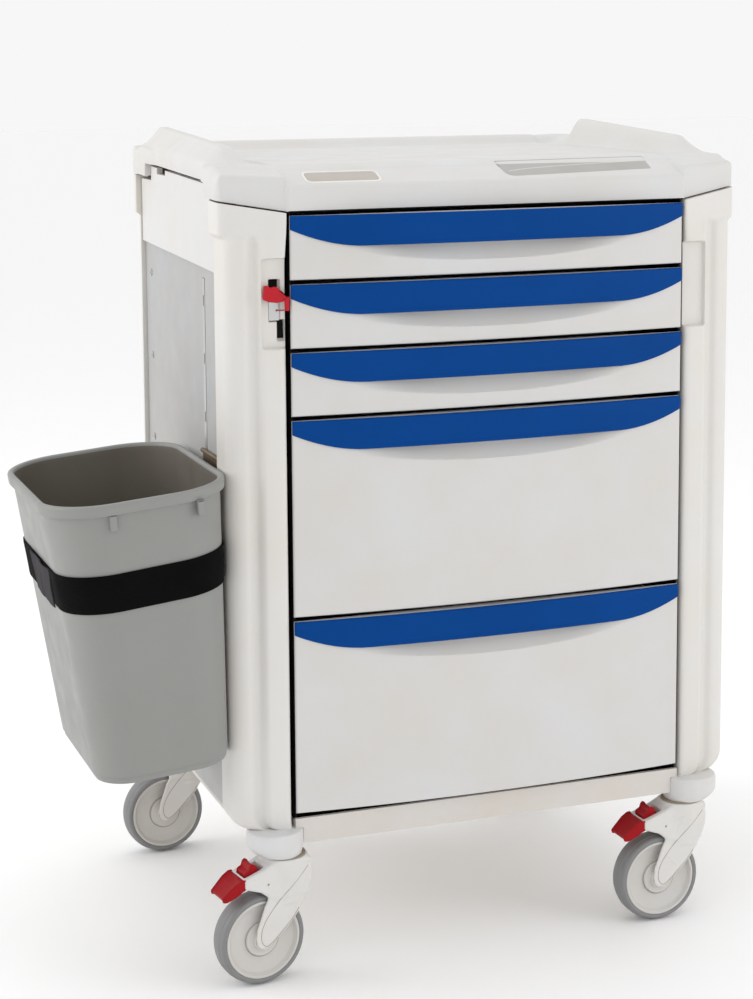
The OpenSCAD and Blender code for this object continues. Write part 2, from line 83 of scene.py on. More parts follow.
def loft(rings, caps=(True, True)):
    """Closed rings joined into a skin; the end rings are capped."""
    n = len(rings[0])
    v = np.vstack([np.asarray(r, float) for r in rings])
    f = []
    for k in range(len(rings) - 1):
        for i in range(n):
            j = (i + 1) % n
            f.append([k * n + i, k * n + j, (k + 1) * n + j, (k + 1) * n + i])
    if caps[0]:
        f.append(list(range(n))[::-1])
    if caps[1]:
        f.append([(len(rings) - 1) * n + i for i in range(n)])
    return v, f


def rrect(w, l, r, n=14, cx=0.0, cy=0.0):
    """Counter-clockwise rounded rectangle, n points a corner and some on the long sides."""
    r = min(r, w / 2 - 0.01, l / 2 - 0.01)
    p = []
    for sx, sy, a0 in ((1, 1, 0), (-1, 1, 90), (-1, -1, 180), (1, -1, 270)):
        for k in range(n):
            a = math.radians(a0 + 90 * k / (n - 1))
            p.append((cx + sx * (w / 2 - r) + r * math.cos(a), cy + sy * (l / 2 - r) + r * math.sin(a)))
    out = []
    for i in range(len(p)):
        a, b = np.array(p[i]), np.array(p[(i + 1) % len(p)])
        out.append(a)
        if (i + 1) % n == 0:
            for t in (0.25, 0.5, 0.75):
                out.append(a + (b - a) * t)
    return np.array(out)


def inset(poly, d):
    """Moves each point of a counter-clockwise outline inwards by d."""
    p = np.asarray(poly, float)
    a, b = np.roll(p, 1, 0), np.roll(p, -1, 0)
    e1, e2 = p - a, b - p
    n1 = np.stack([-e1[:, 1], e1[:, 0]], 1) / (np.linalg.norm(e1, axis=1)[:, None] + 1e-12)
    n2 = np.stack([-e2[:, 1], e2[:, 0]], 1) / (np.linalg.norm(e2, axis=1)[:, None] + 1e-12)
    n = n1 + n2
    k = np.maximum((n * n).sum(1) / 2, 0.35)
    return p + d * n / k[:, None]


def rounded(poly, r, n=5):
    """Rounds each corner of an outline with radius r (a number or one a corner)."""
    p = np.asarray(poly, float)
    m = len(p)
    rr = np.full(m, r, float) if np.isscalar(r) else np.asarray(r, float)
    out = []
    for i in range(m):
        a, b, c = p[i - 1], p[i], p[(i + 1) % m]
        u, v = a - b, c - b
        lu, lv = np.linalg.norm(u), np.linalg.norm(v)
        u, v = u / lu, v / lv
        ang = math.acos(max(-1, min(1, float(u @ v))))
        t = min(rr[i] / max(math.tan(ang / 2), 1e-6), lu * 0.45, lv * 0.45)
        if t < 1e-3 or ang > 3.1:
            out.append(b)
            continue
        for k in range(n + 1):
            s = k / n
            out.append((1 - s) ** 2 * (b + u * t) + 2 * s * (1 - s) * b + s * s * (b + v * t))
    return np.array(out)


def prism(poly, z0, z1, r=1.0, n=4, put=None):
    """Counter-clockwise outline extruded from z0 to z1 with rounded edges."""
    rings = []
    for k in range(n + 1):
        a = math.pi / 2 * k / n
        rings.append((inset(poly, r * (1 - math.sin(a))), z0 + r * (1 - math.cos(a))))
    for k in range(n + 1):
        a = math.pi / 2 * k / n
        rings.append((inset(poly, r * (1 - math.cos(a))), z1 - r * (1 - math.sin(a))))
    v, f = loft([np.column_stack([q, np.full(len(q), z)]) for q, z in rings])
    return (put(v) if put else v), f


def revolve(profile, n=96):
    """Profile of (radius, height) turned about the local Z axis, closed on itself."""
    pr = np.asarray(profile, float)
    a = np.linspace(0, 2 * math.pi, n, endpoint=False)
    v = np.stack([np.outer(np.cos(a), pr[:, 0]), np.outer(np.sin(a), pr[:, 0]), np.tile(pr[:, 1], (n, 1))], 2).reshape(-1, 3)
    return v, grid_faces(n, len(pr), True, True)


def tube(path, r, n=8, closed=False):
    p = np.asarray(path, float)
    t = np.roll(p, -1, 0) - np.roll(p, 1, 0)
    if not closed:
        t[0], t[-1] = p[1] - p[0], p[-1] - p[-2]
    t /= np.linalg.norm(t, axis=1)[:, None]
    up = np.array([0.13, 0.24, 0.96])
    u = np.cross(t, up)
    u /= np.linalg.norm(u, axis=1)[:, None]
    w = np.cross(t, u)
    a = np.linspace(0, 2 * math.pi, n, endpoint=False)
    rings = [p[i] + r * (np.outer(np.cos(a), u[i]) + np.outer(np.sin(a), w[i])) for i in range(len(p))]
    if closed:
        v = np.vstack(rings)
        return v, grid_faces(len(p), n, True, True)
    return loft(rings)


def smooth(x, a, b):
    t = np.clip((np.asarray(x, float) - a) / (b - a), 0, 1)
    return t * t * (3 - 2 * t)


def spread(*stops):
    """Positions from stops (value, spacing up to the next)."""
    out = []
    for (a, h), (b, _) in zip(stops, stops[1:]):
        n = max(1, int(round((b - a) / h)))
        out += list(np.linspace(a, b, n, endpoint=False))
    out.append(stops[-1][0])
    return np.array(out)


# signed distances on grids, and their surface
def sd_poly(poly, X, Z):
    p = np.asarray(poly, float)
    d = np.full(X.shape, 1e9)
    inside = np.zeros(X.shape, bool)
    for i in range(len(p)):
        a, b = p[i], p[(i + 1) % len(p)]
        e = b - a
        wx, wz = X - a[0], Z - a[1]
        t = np.clip((wx * e[0] + wz * e[1]) / (e @ e), 0, 1)
        d = np.minimum(d, (wx - e[0] * t) ** 2 + (wz - e[1] * t) ** 2)
        cross = ((a[1] <= Z) & (b[1] > Z)) | ((a[1] > Z) & (b[1] <= Z))
        xx = a[0] + (Z - a[1]) * e[0] / (e[1] if abs(e[1]) > 1e-9 else 1e-9)
        inside ^= cross & (X < xx)
    return np.where(inside, -1, 1) * np.sqrt(d)


def sd_extrude(d2, V, h, r):
    q1, q2 = d2 + r, np.abs(V) - h + r
    return np.sqrt(np.maximum(q1, 0) ** 2 + np.maximum(q2, 0) ** 2) + np.minimum(np.maximum(q1, q2), 0) - r


def smin(a, b, k):
    h = np.clip(0.5 + 0.5 * (b - a) / k, 0, 1)
    return b * (1 - h) + a * h - k * h * (1 - h)


def smax(a, b, k):
    return -smin(-a, -b, k)


def surface(f, lo, h, relax=2):
    """Skin of the region where f < 0, on a grid starting at lo with spacing h."""
    nx, ny, nz = f.shape
    acc = np.zeros((nx - 1, ny - 1, nz - 1, 3))
    cnt = np.zeros((nx - 1, ny - 1, nz - 1))
    quads = []
    crossings = []
    size = f.shape
    for ax in range(3):
        sa, sb = [slice(None)] * 3, [slice(None)] * 3
        sa[ax], sb[ax] = slice(0, -1), slice(1, None)
        fa, fb = f[tuple(sa)], f[tuple(sb)]
        cross = (fa < 0) != (fb < 0)
        t = np.where(cross, fa / np.where(cross, fa - fb, 1), 0)
        o1, o2 = [k for k in range(3) if k != ax]
        for d1 in (0, 1):
            for d2 in (0, 1):
                s = [slice(None)] * 3
                s[o1] = slice(d1, size[o1] - 1 + d1)
                s[o2] = slice(d2, size[o2] - 1 + d2)
                c = cross[tuple(s)]
                acc[..., ax] += c * t[tuple(s)]
                acc[..., o1] += c * d1
                acc[..., o2] += c * d2
                cnt += c
        crossings.append((ax, o1, o2, cross, fa < 0))
    has = cnt > 0
    idx = np.full(has.shape, -1, int)
    idx[has] = np.arange(has.sum())
    ijk = np.argwhere(has)
    v = ijk + acc[has] / cnt[has][:, None]
    for ax, o1, o2, cross, neg in crossings:
        e = np.argwhere(cross)
        ok = (e[:, o1] > 0) & (e[:, o1] < size[o1] - 1) & (e[:, o2] > 0) & (e[:, o2] < size[o2] - 1)
        e = e[ok]
        flip = neg[tuple(e.T)]
        c = []
        for d1, d2 in ((-1, -1), (0, -1), (0, 0), (-1, 0)):
            q = e.copy()
            q[:, o1] += d1
            q[:, o2] += d2
            c.append(idx[tuple(q.T)])
        c = np.stack(c, 1)
        if ax == 1:
            flip = ~flip
        c[~flip] = c[~flip][:, ::-1]
        quads.append(c)
    faces = np.vstack(quads)
    for _ in range(relax):
        s, n = np.zeros_like(v), np.zeros(len(v))
        for k in range(4):
            a, b = faces[:, k], faces[:, (k + 1) % 4]
            np.add.at(s, a, v[b])
            np.add.at(n, a, 1)
            np.add.at(s, b, v[a])
            np.add.at(n, b, 1)
        v = v * 0.5 + 0.5 * s / n[:, None]
    return v * h + np.array(lo), faces.tolist()


# ------------------------------------------------------------------ materials
def material(name, color, rough=0.45, rough_var=0.1, var=0.04, grain=700, bump=0.12, metallic=0.0,
             spec=0.5, coat=0.0, tint=(1.0, 0.96, 0.9), soil=0.0, sss=0.0):
    m = bpy.data.materials.new(name)
    m.use_nodes = True
    nt = m.node_tree
    N, L = nt.nodes, nt.links
    b = N["Principled BSDF"]
    tc = N.new("ShaderNodeTexCoord")
    big = N.new("ShaderNodeTexNoise")
    big.inputs["Scale"].default_value = 7.0
    big.inputs["Detail"].default_value = 5.0
    big.inputs["Roughness"].default_value = 0.6
    fine = N.new("ShaderNodeTexNoise")
    fine.inputs["Scale"].default_value = grain
    fine.inputs["Detail"].default_value = 3.0
    L.new(tc.outputs["Object"], big.inputs["Vector"])
    L.new(tc.outputs["Object"], fine.inputs["Vector"])
    ramp = N.new("ShaderNodeValToRGB")
    c = np.array(color, float)
    lo = c * (1 - var) * np.array(tint)
    hi = np.minimum(c * (1 + var), 1)
    ramp.color_ramp.elements[0].position = 0.3
    ramp.color_ramp.elements[1].position = 0.72
    ramp.color_ramp.elements[0].color = (*lo, 1)
    ramp.color_ramp.elements[1].color = (*hi, 1)
    L.new(big.outputs["Fac"], ramp.inputs["Fac"])
    mix = N.new("ShaderNodeMix")
    mix.data_type = "RGBA"
    mix.inputs[0].default_value = 0.0
    mix.blend_type = "MULTIPLY"
    sp = N.new("ShaderNodeMapRange")
    sp.inputs["From Min"].default_value = 0.3
    sp.inputs["From Max"].default_value = 0.7
    sp.inputs["To Min"].default_value = 1 - var * 0.7
    sp.inputs["To Max"].default_value = 1.0
    L.new(fine.outputs["Fac"], sp.inputs["Value"])
    mix.inputs[0].default_value = 1.0
    L.new(ramp.outputs["Color"], mix.inputs[6])
    L.new(sp.outputs["Result"], mix.inputs[7])
    out = mix.outputs[2]
    if soil > 0:
        scr = N.new("ShaderNodeTexNoise")
        scr.inputs["Scale"].default_value = 38.0
        scr.inputs["Detail"].default_value = 8.0
        scr.inputs["Roughness"].default_value = 0.75
        scr.inputs["Distortion"].default_value = 1.4
        L.new(tc.outputs["Object"], scr.inputs["Vector"])
        mr = N.new("ShaderNodeMapRange")
        mr.inputs["From Min"].default_value = 0.58
        mr.inputs["From Max"].default_value = 0.78
        mr.inputs["To Min"].default_value = 0.0
        mr.inputs["To Max"].default_value = soil
        L.new(scr.outputs["Fac"], mr.inputs["Value"])
        m2 = N.new("ShaderNodeMix")
        m2.data_type = "RGBA"
        L.new(mr.outputs["Result"], m2.inputs[0])
        L.new(out, m2.inputs[6])
        m2.inputs[7].default_value = (*(c * 0.72 * np.array([1, 0.93, 0.82])), 1)
        out = m2.outputs[2]
    L.new(out, b.inputs["Base Color"])
    rr = N.new("ShaderNodeMapRange")
    rr.inputs["From Min"].default_value = 0.3
    rr.inputs["From Max"].default_value = 0.7
    rr.inputs["To Min"].default_value = max(0.05, rough - rough_var)
    rr.inputs["To Max"].default_value = min(1.0, rough + rough_var)
    mid = N.new("ShaderNodeTexNoise")
    mid.inputs["Scale"].default_value = 24.0
    mid.inputs["Detail"].default_value = 6.0
    L.new(tc.outputs["Object"], mid.inputs["Vector"])
    L.new(mid.outputs["Fac"], rr.inputs["Value"])
    L.new(rr.outputs["Result"], b.inputs["Roughness"])
    bp = N.new("ShaderNodeBump")
    bp.inputs["Strength"].default_value = bump
    bp.inputs["Distance"].default_value = 0.0004
    L.new(fine.outputs["Fac"], bp.inputs["Height"])
    L.new(bp.outputs["Normal"], b.inputs["Normal"])
    b.inputs["Metallic"].default_value = metallic
    b.inputs["Specular IOR Level"].default_value = spec
    b.inputs["Coat Weight"].default_value = coat
    b.inputs["Coat Roughness"].default_value = 0.2
    if sss:
        b.inputs["Subsurface Weight"].default_value = sss
        b.inputs["Subsurface Radius"].default_value = (0.004, 0.0035, 0.003)
        b.inputs["Subsurface Scale"].default_value = 1.0
    return m


def metal(name, color=(0.62, 0.62, 0.63), rough=0.32):
    m = material(name, color, rough=rough, rough_var=0.12, var=0.05, grain=1500, bump=0.05, metallic=1.0, tint=(1, 1, 0.99))
    nt = m.node_tree
    N, L = nt.nodes, nt.links
    tc = [n for n in N if n.type == "TEX_COORD"][0]
    mp = N.new("ShaderNodeMapping")
    mp.inputs["Scale"].default_value = (900, 900, 25)
    L.new(tc.outputs["Object"], mp.inputs["Vector"])
    br = N.new("ShaderNodeTexNoise")
    br.inputs["Scale"].default_value = 1.0
    br.inputs["Detail"].default_value = 4.0
    L.new(mp.outputs["Vector"], br.inputs["Vector"])
    bp = [n for n in N if n.type == "BUMP"][0]
    bp.inputs["Strength"].default_value = 0.15
    L.new(br.outputs["Fac"], bp.inputs["Height"])
    return m


def webbing(name, color, across=(0, 0, 1)):
    m = material(name, color, rough=0.85, rough_var=0.08, var=0.25, grain=900, bump=0.5, spec=0.06)
    nt = m.node_tree
    N, L = nt.nodes, nt.links
    tc = [n for n in N if n.type == "TEX_COORD"][0]
    mp = N.new("ShaderNodeMapping")
    mp.inputs["Scale"].default_value = (1, 1, 1)
    L.new(tc.outputs["Object"], mp.inputs["Vector"])
    w1 = N.new("ShaderNodeTexWave")
    w1.wave_type = "BANDS"
    w1.bands_direction = "Z"
    w1.inputs["Scale"].default_value = 190.0
    w1.inputs["Distortion"].default_value = 1.5
    w1.inputs["Detail Scale"].default_value = 6.0
    w2 = N.new("ShaderNodeTexWave")
    w2.wave_type = "BANDS"
    w2.bands_direction = "DIAGONAL"
    w2.inputs["Scale"].default_value = 160.0
    w2.inputs["Distortion"].default_value = 1.0
    L.new(mp.outputs["Vector"], w1.inputs["Vector"])
    L.new(mp.outputs["Vector"], w2.inputs["Vector"])
    mul = N.new("ShaderNodeMath")
    mul.operation = "MULTIPLY"
    L.new(w1.outputs["Fac"], mul.inputs[0])
    L.new(w2.outputs["Fac"], mul.inputs[1])
    bp = [n for n in N if n.type == "BUMP"][0]
    bp.inputs["Strength"].default_value = 0.6
    bp.inputs["Distance"].default_value = 0.0007
    L.new(mul.outputs["Value"], bp.inputs["Height"])
    return m


WHITE = material("shell_plastic", (0.655, 0.66, 0.667), rough=0.46, grain=520, bump=0.10, var=0.012, soil=0.04)
# the columns take a lighter copy of the white shell plastic, brightened in place of the light they lose beside the bin:
# painted light
COLUMN_PAINTED_LIGHT = material("column_plastic_painted_light", (0.70, 0.694, 0.682), rough=0.5, grain=520, bump=0.10, var=0.012, soil=0.04)
FRONT = material("front_plastic", (0.632, 0.634, 0.638), rough=0.42, grain=560, bump=0.08, var=0.01, soil=0.025)
PANEL = material("panel_coat", (0.66, 0.664, 0.672), rough=0.5, grain=300, bump=0.16, var=0.012, soil=0.04)
# darker copy of the panel coat for the lower zone of the side panels: painted shade
PANEL_LOWER_PAINTED_SHADE = material("panel_lower_painted_shade", (0.422, 0.427, 0.434), rough=0.5, grain=300, bump=0.16, var=0.015, soil=0.05)
BRONZE = metal("hanger_bronze", (0.20, 0.145, 0.09), 0.45)
BASE = material("base_plastic", (0.64, 0.615, 0.59), rough=0.5, grain=520, bump=0.10, var=0.02, soil=0.15)
BLUE = material("pull_plastic", (0.0008, 0.052, 0.245), rough=0.42, rough_var=0.06, grain=480, bump=0.12, var=0.06, tint=(1, 1, 1), spec=0.06)
# black of the drawer frame, also used for the painted shade inside the lock slot
BLACK_FRAME_AND_SLOT_SHADE = material("frame_black", (0.006, 0.006, 0.0065), rough=0.6, grain=400, bump=0.2, var=0.2, spec=0.1)
TRAY = material("tray_plastic", (0.62, 0.62, 0.60), rough=0.5, grain=400, bump=0.12, var=0.03, soil=0.15)
STEEL = metal("zinc_steel")
GAL = metal("galvanised_strip", (0.55, 0.55, 0.53), 0.42)
BADGE = material("badge_plastic", (0.44, 0.41, 0.38), rough=0.35, grain=900, bump=0.1, var=0.04, coat=0.3)
BADGE_EDGE = material("badge_edge", (0.84, 0.83, 0.81), rough=0.3, grain=900, bump=0.05, var=0.02)
LABEL = material("label_film", (0.40, 0.40, 0.395), rough=0.4, grain=1400, bump=0.05, var=0.02)
LABEL_LINE = material("label_line", (0.60, 0.60, 0.595), rough=0.4, grain=1400, bump=0.05, var=0.01)
RED = material("seal_plastic", (0.50, 0.008, 0.018), rough=0.35, grain=700, bump=0.1, var=0.08, tint=(1, 1, 1), spec=0.25)
PEDAL = material("pedal_plastic", (0.33, 0.008, 0.012), rough=0.42, grain=500, bump=0.15, var=0.08, tint=(1, 1, 1), spec=0.1)
BIN = material("bin_plastic", (0.265, 0.266, 0.255), rough=0.48, grain=380, bump=0.14, var=0.02, soil=0.12, tint=(1, 1, 0.99))
BIN_IN = material("bin_inside", (0.15, 0.135, 0.112), rough=0.55, grain=380, bump=0.14, var=0.05, tint=(1, 0.98, 0.94))
STRAP = webbing("strap_webbing", (0.0035, 0.0035, 0.0038))
TAIL = webbing("strap_hook_loop", (0.062, 0.059, 0.066))
THREAD = material("thread", (0.20, 0.17, 0.15), rough=0.8, grain=1500, bump=0.3, var=0.1)
CASTER = material("caster_plastic", (0.68, 0.675, 0.665), rough=0.34, grain=420, bump=0.06, var=0.012, soil=0.12, coat=0.12)
HUB = material("hub_plastic", (0.60, 0.59, 0.575), rough=0.42, grain=420, bump=0.10, var=0.03, soil=0.3)
TYRE = material("tyre_rubber", (0.22, 0.22, 0.222), rough=0.55, grain=600, bump=0.25, var=0.06, soil=0.25, tint=(1, 1, 1))
LINE = material("groove_shadow", (0.30, 0.25, 0.19), rough=0.7, grain=900, bump=0.1, var=0.1)

# ------------------------------------------------------------------ worktop
HW, HEAD, TOP, RIM, SKIRT, EDGE, RISE = 369.0, 375.5, 1090.0, 1115.0, 1034.0, 1066.0, 14.0


def rising(y):
    return RISE * (np.asarray(y, float) - 25) / 450


def half_width(y):
    y = np.asarray(y, float)
    w = HEAD - 6.5 * smooth(y, 80, 92) * (1 - smooth(y, 394, 448))
    return w


def front_y(x):
    a = np.abs(x)
    y = np.where(a < 284.5, 0.0, 4 * smooth(a, 284.5, 288.5) + np.clip((a - 288.5) / 83, 0, 1) * 19)
    return y + 7 * np.clip((a - 369.5) / 6, 0, 1) ** 2


def rear_y(x):
    a = np.abs(x)
    return 540 - np.clip((a - 331.5) / 44, 0, 1) * 70 - 3 * smooth(a, 320, 335) * (1 - smooth(a, 335, 350))


def top_height(x, y):
    a = np.abs(x)
    main = EDGE + (TOP - EDGE) * np.clip((y - 1.0) / 59, 0, 1)
    # ease into the flat top
    main = np.where(y > 44, EDGE + (TOP - EDGE) * (1 - 0.5 * np.clip((72 - y) / 28, 0, 1) ** 2 * 0.475 * 28 / 29), main)
    main = np.minimum(main, TOP)
    yf = front_y(x)
    ear = 1078.0 + 4.0 * np.clip((a - 288) / 82, 0, 1) + (TOP - 1080) * smooth(y, yf + 4, 66)
    ear = np.minimum(ear, TOP)
    k = smooth(a, 284.5, 289)
    z = main * (1 - k) + ear * k
    # side edge of the ears
    z = z - 5 * smooth(a, 366, 375) * (1 - smooth(y, 60, 92)) * smooth(y, 20, 30)
    # raised rims, climbing to the rear, and the lip that joins them behind
    rim = RIM + RISE * np.clip((y - 118) / 306.0, -0.2, 1.1) - TOP
    seam = np.clip(rising(y), 0, None) * smooth(y, 60, 110)
    across = np.where(a > 343, seam / rim + (1 - seam / rim) * (1 - np.clip((a - 343) / 26.0, 0, 1) ** 0.92), smooth(a, 304, 333))
    rim = rim * across * smooth(y, 66, 122) * (1 - smooth(y, 432, 466))
    lip = 13.0 * smooth(y, 488, 512)
    ear = 11.0 * smooth(a, 300, 335) * smooth(y, 430, 470)
    return z + smax(smax(rim, lip, 3.0), ear, 3.0)


def worktop():
    xa = spread((0, 12), (240, 6), (280, 0.9), (292, 4), (300, 1.6), (366, 0.8), (375.5, 1))
    frac = np.concatenate([-xa[::-1][:-1], xa]) / HEAD
    yb = spread((0, 0.6), (6, 2.5), (30, 3), (110, 8), (400, 3), (470, 5), (530, 1.2), (540, 1)) / 540.0
    nx, ny = len(frac), len(yb)
    A, B = np.meshgrid(frac, yb, indexing="ij")
    Y0 = B * 540
    X = A * half_width(Y0)
    X = np.where(np.abs(X) < 300, A * HEAD, X)
    Y = front_y(X) + B * (rear_y(X) - front_y(X))
    Z = top_height(X, Y)
    hwid = half_width(Y)
    edge = np.minimum(np.minimum((Y - front_y(X)) * 0.99, rear_y(X) - Y), (1 - np.abs(A)) * HEAD)
    r = np.where(np.abs(X) > 288, 6.5, 4.5)
    r = np.where(Y > 90, 5.0, r)
    e = np.clip(edge, 0, None)
    Z = Z - r + np.sqrt(np.maximum(r * r - np.maximum(r - e, 0) ** 2, 0))
    top = np.stack([X, Y, Z], 2).reshape(-1, 3)
    faces = grid_faces(nx, ny)
    # boundary loop, counter-clockwise from above starting at the left front
    loop = [i * ny for i in range(nx)] + [(nx - 1) * ny + j for j in range(1, ny)]
    loop += [i * ny + ny - 1 for i in range(nx - 2, -1, -1)] + [j for j in range(ny - 2, 0, -1)]
    P = top[loop]

    def seam(p):
        x, y = np.abs(p[:, 0]), p[:, 1]
        ear_z = SKIRT + (np.maximum(x - 286, 0) * 0.158 + rising(y)) * (x > 285.5)
        side = (x > 362) & (y > 84) & (y < 400)
        return np.where(side, 1067.0 + rising(y), ear_z)

    zs = seam(P)
    n = len(loop)
    centre = np.array([0, 270])
    d = P[:, :2] - centre
    ring = []
    for inn, zz in ((0.0, P[:, 2] - 6), (0.0, zs + 1.2), (0.5, zs + 0.3), (1.5, zs), (4.5, zs), (5.0, zs + 1.5), (5.0, np.maximum(zs + 1.0, 1058.0)), (18.0, np.maximum(zs + 1.2, 1060.0))):
        q = P.copy()
        q[:, 0] -= np.sign(d[:, 0]) * inn * (np.abs(P[:, 0]) > 350)
        q[:, 1] -= np.sign(d[:, 1]) * inn * ((np.abs(P[:, 0]) <= 374) | (P[:, 1] < 60) | (P[:, 1] > 480))
        q[:, 2] = zz
        ring.append(q)
    base = len(top)
    v = np.vstack([top] + ring)
    prev = loop
    for k in range(len(ring)):
        cur = [base + k * n + i for i in range(n)]
        for i in range(n):
            j = (i + 1) % n
            faces.append([prev[j], prev[i], cur[i], cur[j]])
        prev = cur
    faces.append(prev[::-1])
    return v, [f[::-1] if False else f for f in faces]


v, f = worktop()
wt = make("worktop_shell", v, f, WHITE, "cabinet", rep=("worktop",), sharp=38, slot="shell_white")


# patch that follows the sloping front zone
def on_slope(poly, lift, thick):
    p = np.asarray(poly, float)
    n = len(p)
    z = top_height(p[:, 0], p[:, 1])
    rings = [np.column_stack([p, z + lift - thick]), np.column_stack([p, z + lift - 0.1]), np.column_stack([inset(p, 0.15), z + lift])]
    return loft(rings, caps=(True, True))


BADGE_BOX = (-258.0, -153.0, 6.0, 37.0)   # left, right, front, back on the slope
bx0, bx1, by0, by1 = BADGE_BOX
outer = rrect(bx1 - bx0, by1 - by0, 9, 8, (bx0 + bx1) / 2, (by0 + by1) / 2)
slope = (TOP - EDGE) / 59.0


def tilt(p2, h):
    p2 = np.asarray(p2, float)
    z = EDGE + (p2[:, 1] - 1.0) * slope
    nrm = np.array([0, -slope, 1]) / math.hypot(1, slope)
    return np.column_stack([p2, z]) + nrm * np.asarray(h).reshape(-1, 1)


rings = [tilt(outer, np.full(len(outer), -0.5)), tilt(outer, np.full(len(outer), 1.4)), tilt(inset(outer, 0.8), np.full(len(outer), 2.1)),
         tilt(inset(outer, 2.2), np.full(len(outer), 2.1)), tilt(inset(outer, 2.8), np.full(len(outer), 1.2))]
make("badge_frame", *loft(rings), BADGE_EDGE, "cabinet", rep=("name_plate",), slot="badge")
mid = inset(outer, 2.9)
make("badge_face", *loft([tilt(mid, np.full(len(mid), 0.9)), tilt(mid, np.full(len(mid), 1.35)), tilt(inset(mid, 0.5), np.full(len(mid), 1.5))]), BADGE, "cabinet")

# printed label: two grey fields and a pale curved line between them
LAB = np.array([(57.0, 52.0), (66.0, 14.0), (262.0, 14.0), (256.0, 52.0)])


def label_piece(name, pts, mat, lift):
    p = np.asarray(pts, float)
    if ((p[:, 0] * np.roll(p[:, 1], -1) - np.roll(p[:, 0], -1) * p[:, 1]).sum()) < 0:
        p = p[::-1]
    n = len(p)
    z = top_height(p[:, 0], p[:, 1])
    v, f = loft([np.column_stack([p, z - 0.3]), np.column_stack([p, z + lift])])
    make(name, v, f, mat, "cabinet")


# ------------------------------------------------------------------ columns
def curve_through(pts, n):
    """Smooth curve through points, by length."""
    p = np.asarray(pts, float)
    for _ in range(4):
        q = np.empty((2 * len(p), 2))
        q[0], q[-1] = p[0], p[-1]
        a, b = p[:-1], p[1:]
        q[1:-1:2] = 0.75 * a + 0.25 * b
        q[2:-1:2] = 0.25 * a + 0.75 * b
        p = q
    s = np.concatenate([[0], np.cumsum(np.linalg.norm(np.diff(p, axis=0), axis=1))])
    t = np.linspace(0, s[-1], n)
    return np.column_stack([np.interp(t, s, p[:, 0]), np.interp(t, s, p[:, 1])])


LOW = [(288.6, 58), (288.6, 34), (288.6, 16), (289.2, 7.5), (291.4, 2.4), (296, 0.2), (305, 0.3), (316, 1.2), (321, 2.2), (325.5, 6.5), (328, 10.5),
       (331, 12.5), (335, 12.8), (338, 11.6), (342, 9.6), (348, 9.6), (356, 12.2), (363, 17), (368, 24), (369, 32), (369, 45), (369, 62)]
HIGH = [(287.4, 58), (287.4, 34), (287.4, 10), (287.4, 2.5), (288.2, 0.2), (290.5, -0.5), (296, 1.0), (305, 3.0), (312, 4.7), (318, 6.1), (324, 7.6),
        (330, 9.0), (336, 10.5), (342, 12.0), (348, 13.4), (355, 15.1), (362, 17.0), (369, 19.4), (374.5, 24), (375.5, 31), (375.5, 44), (375.5, 62)]


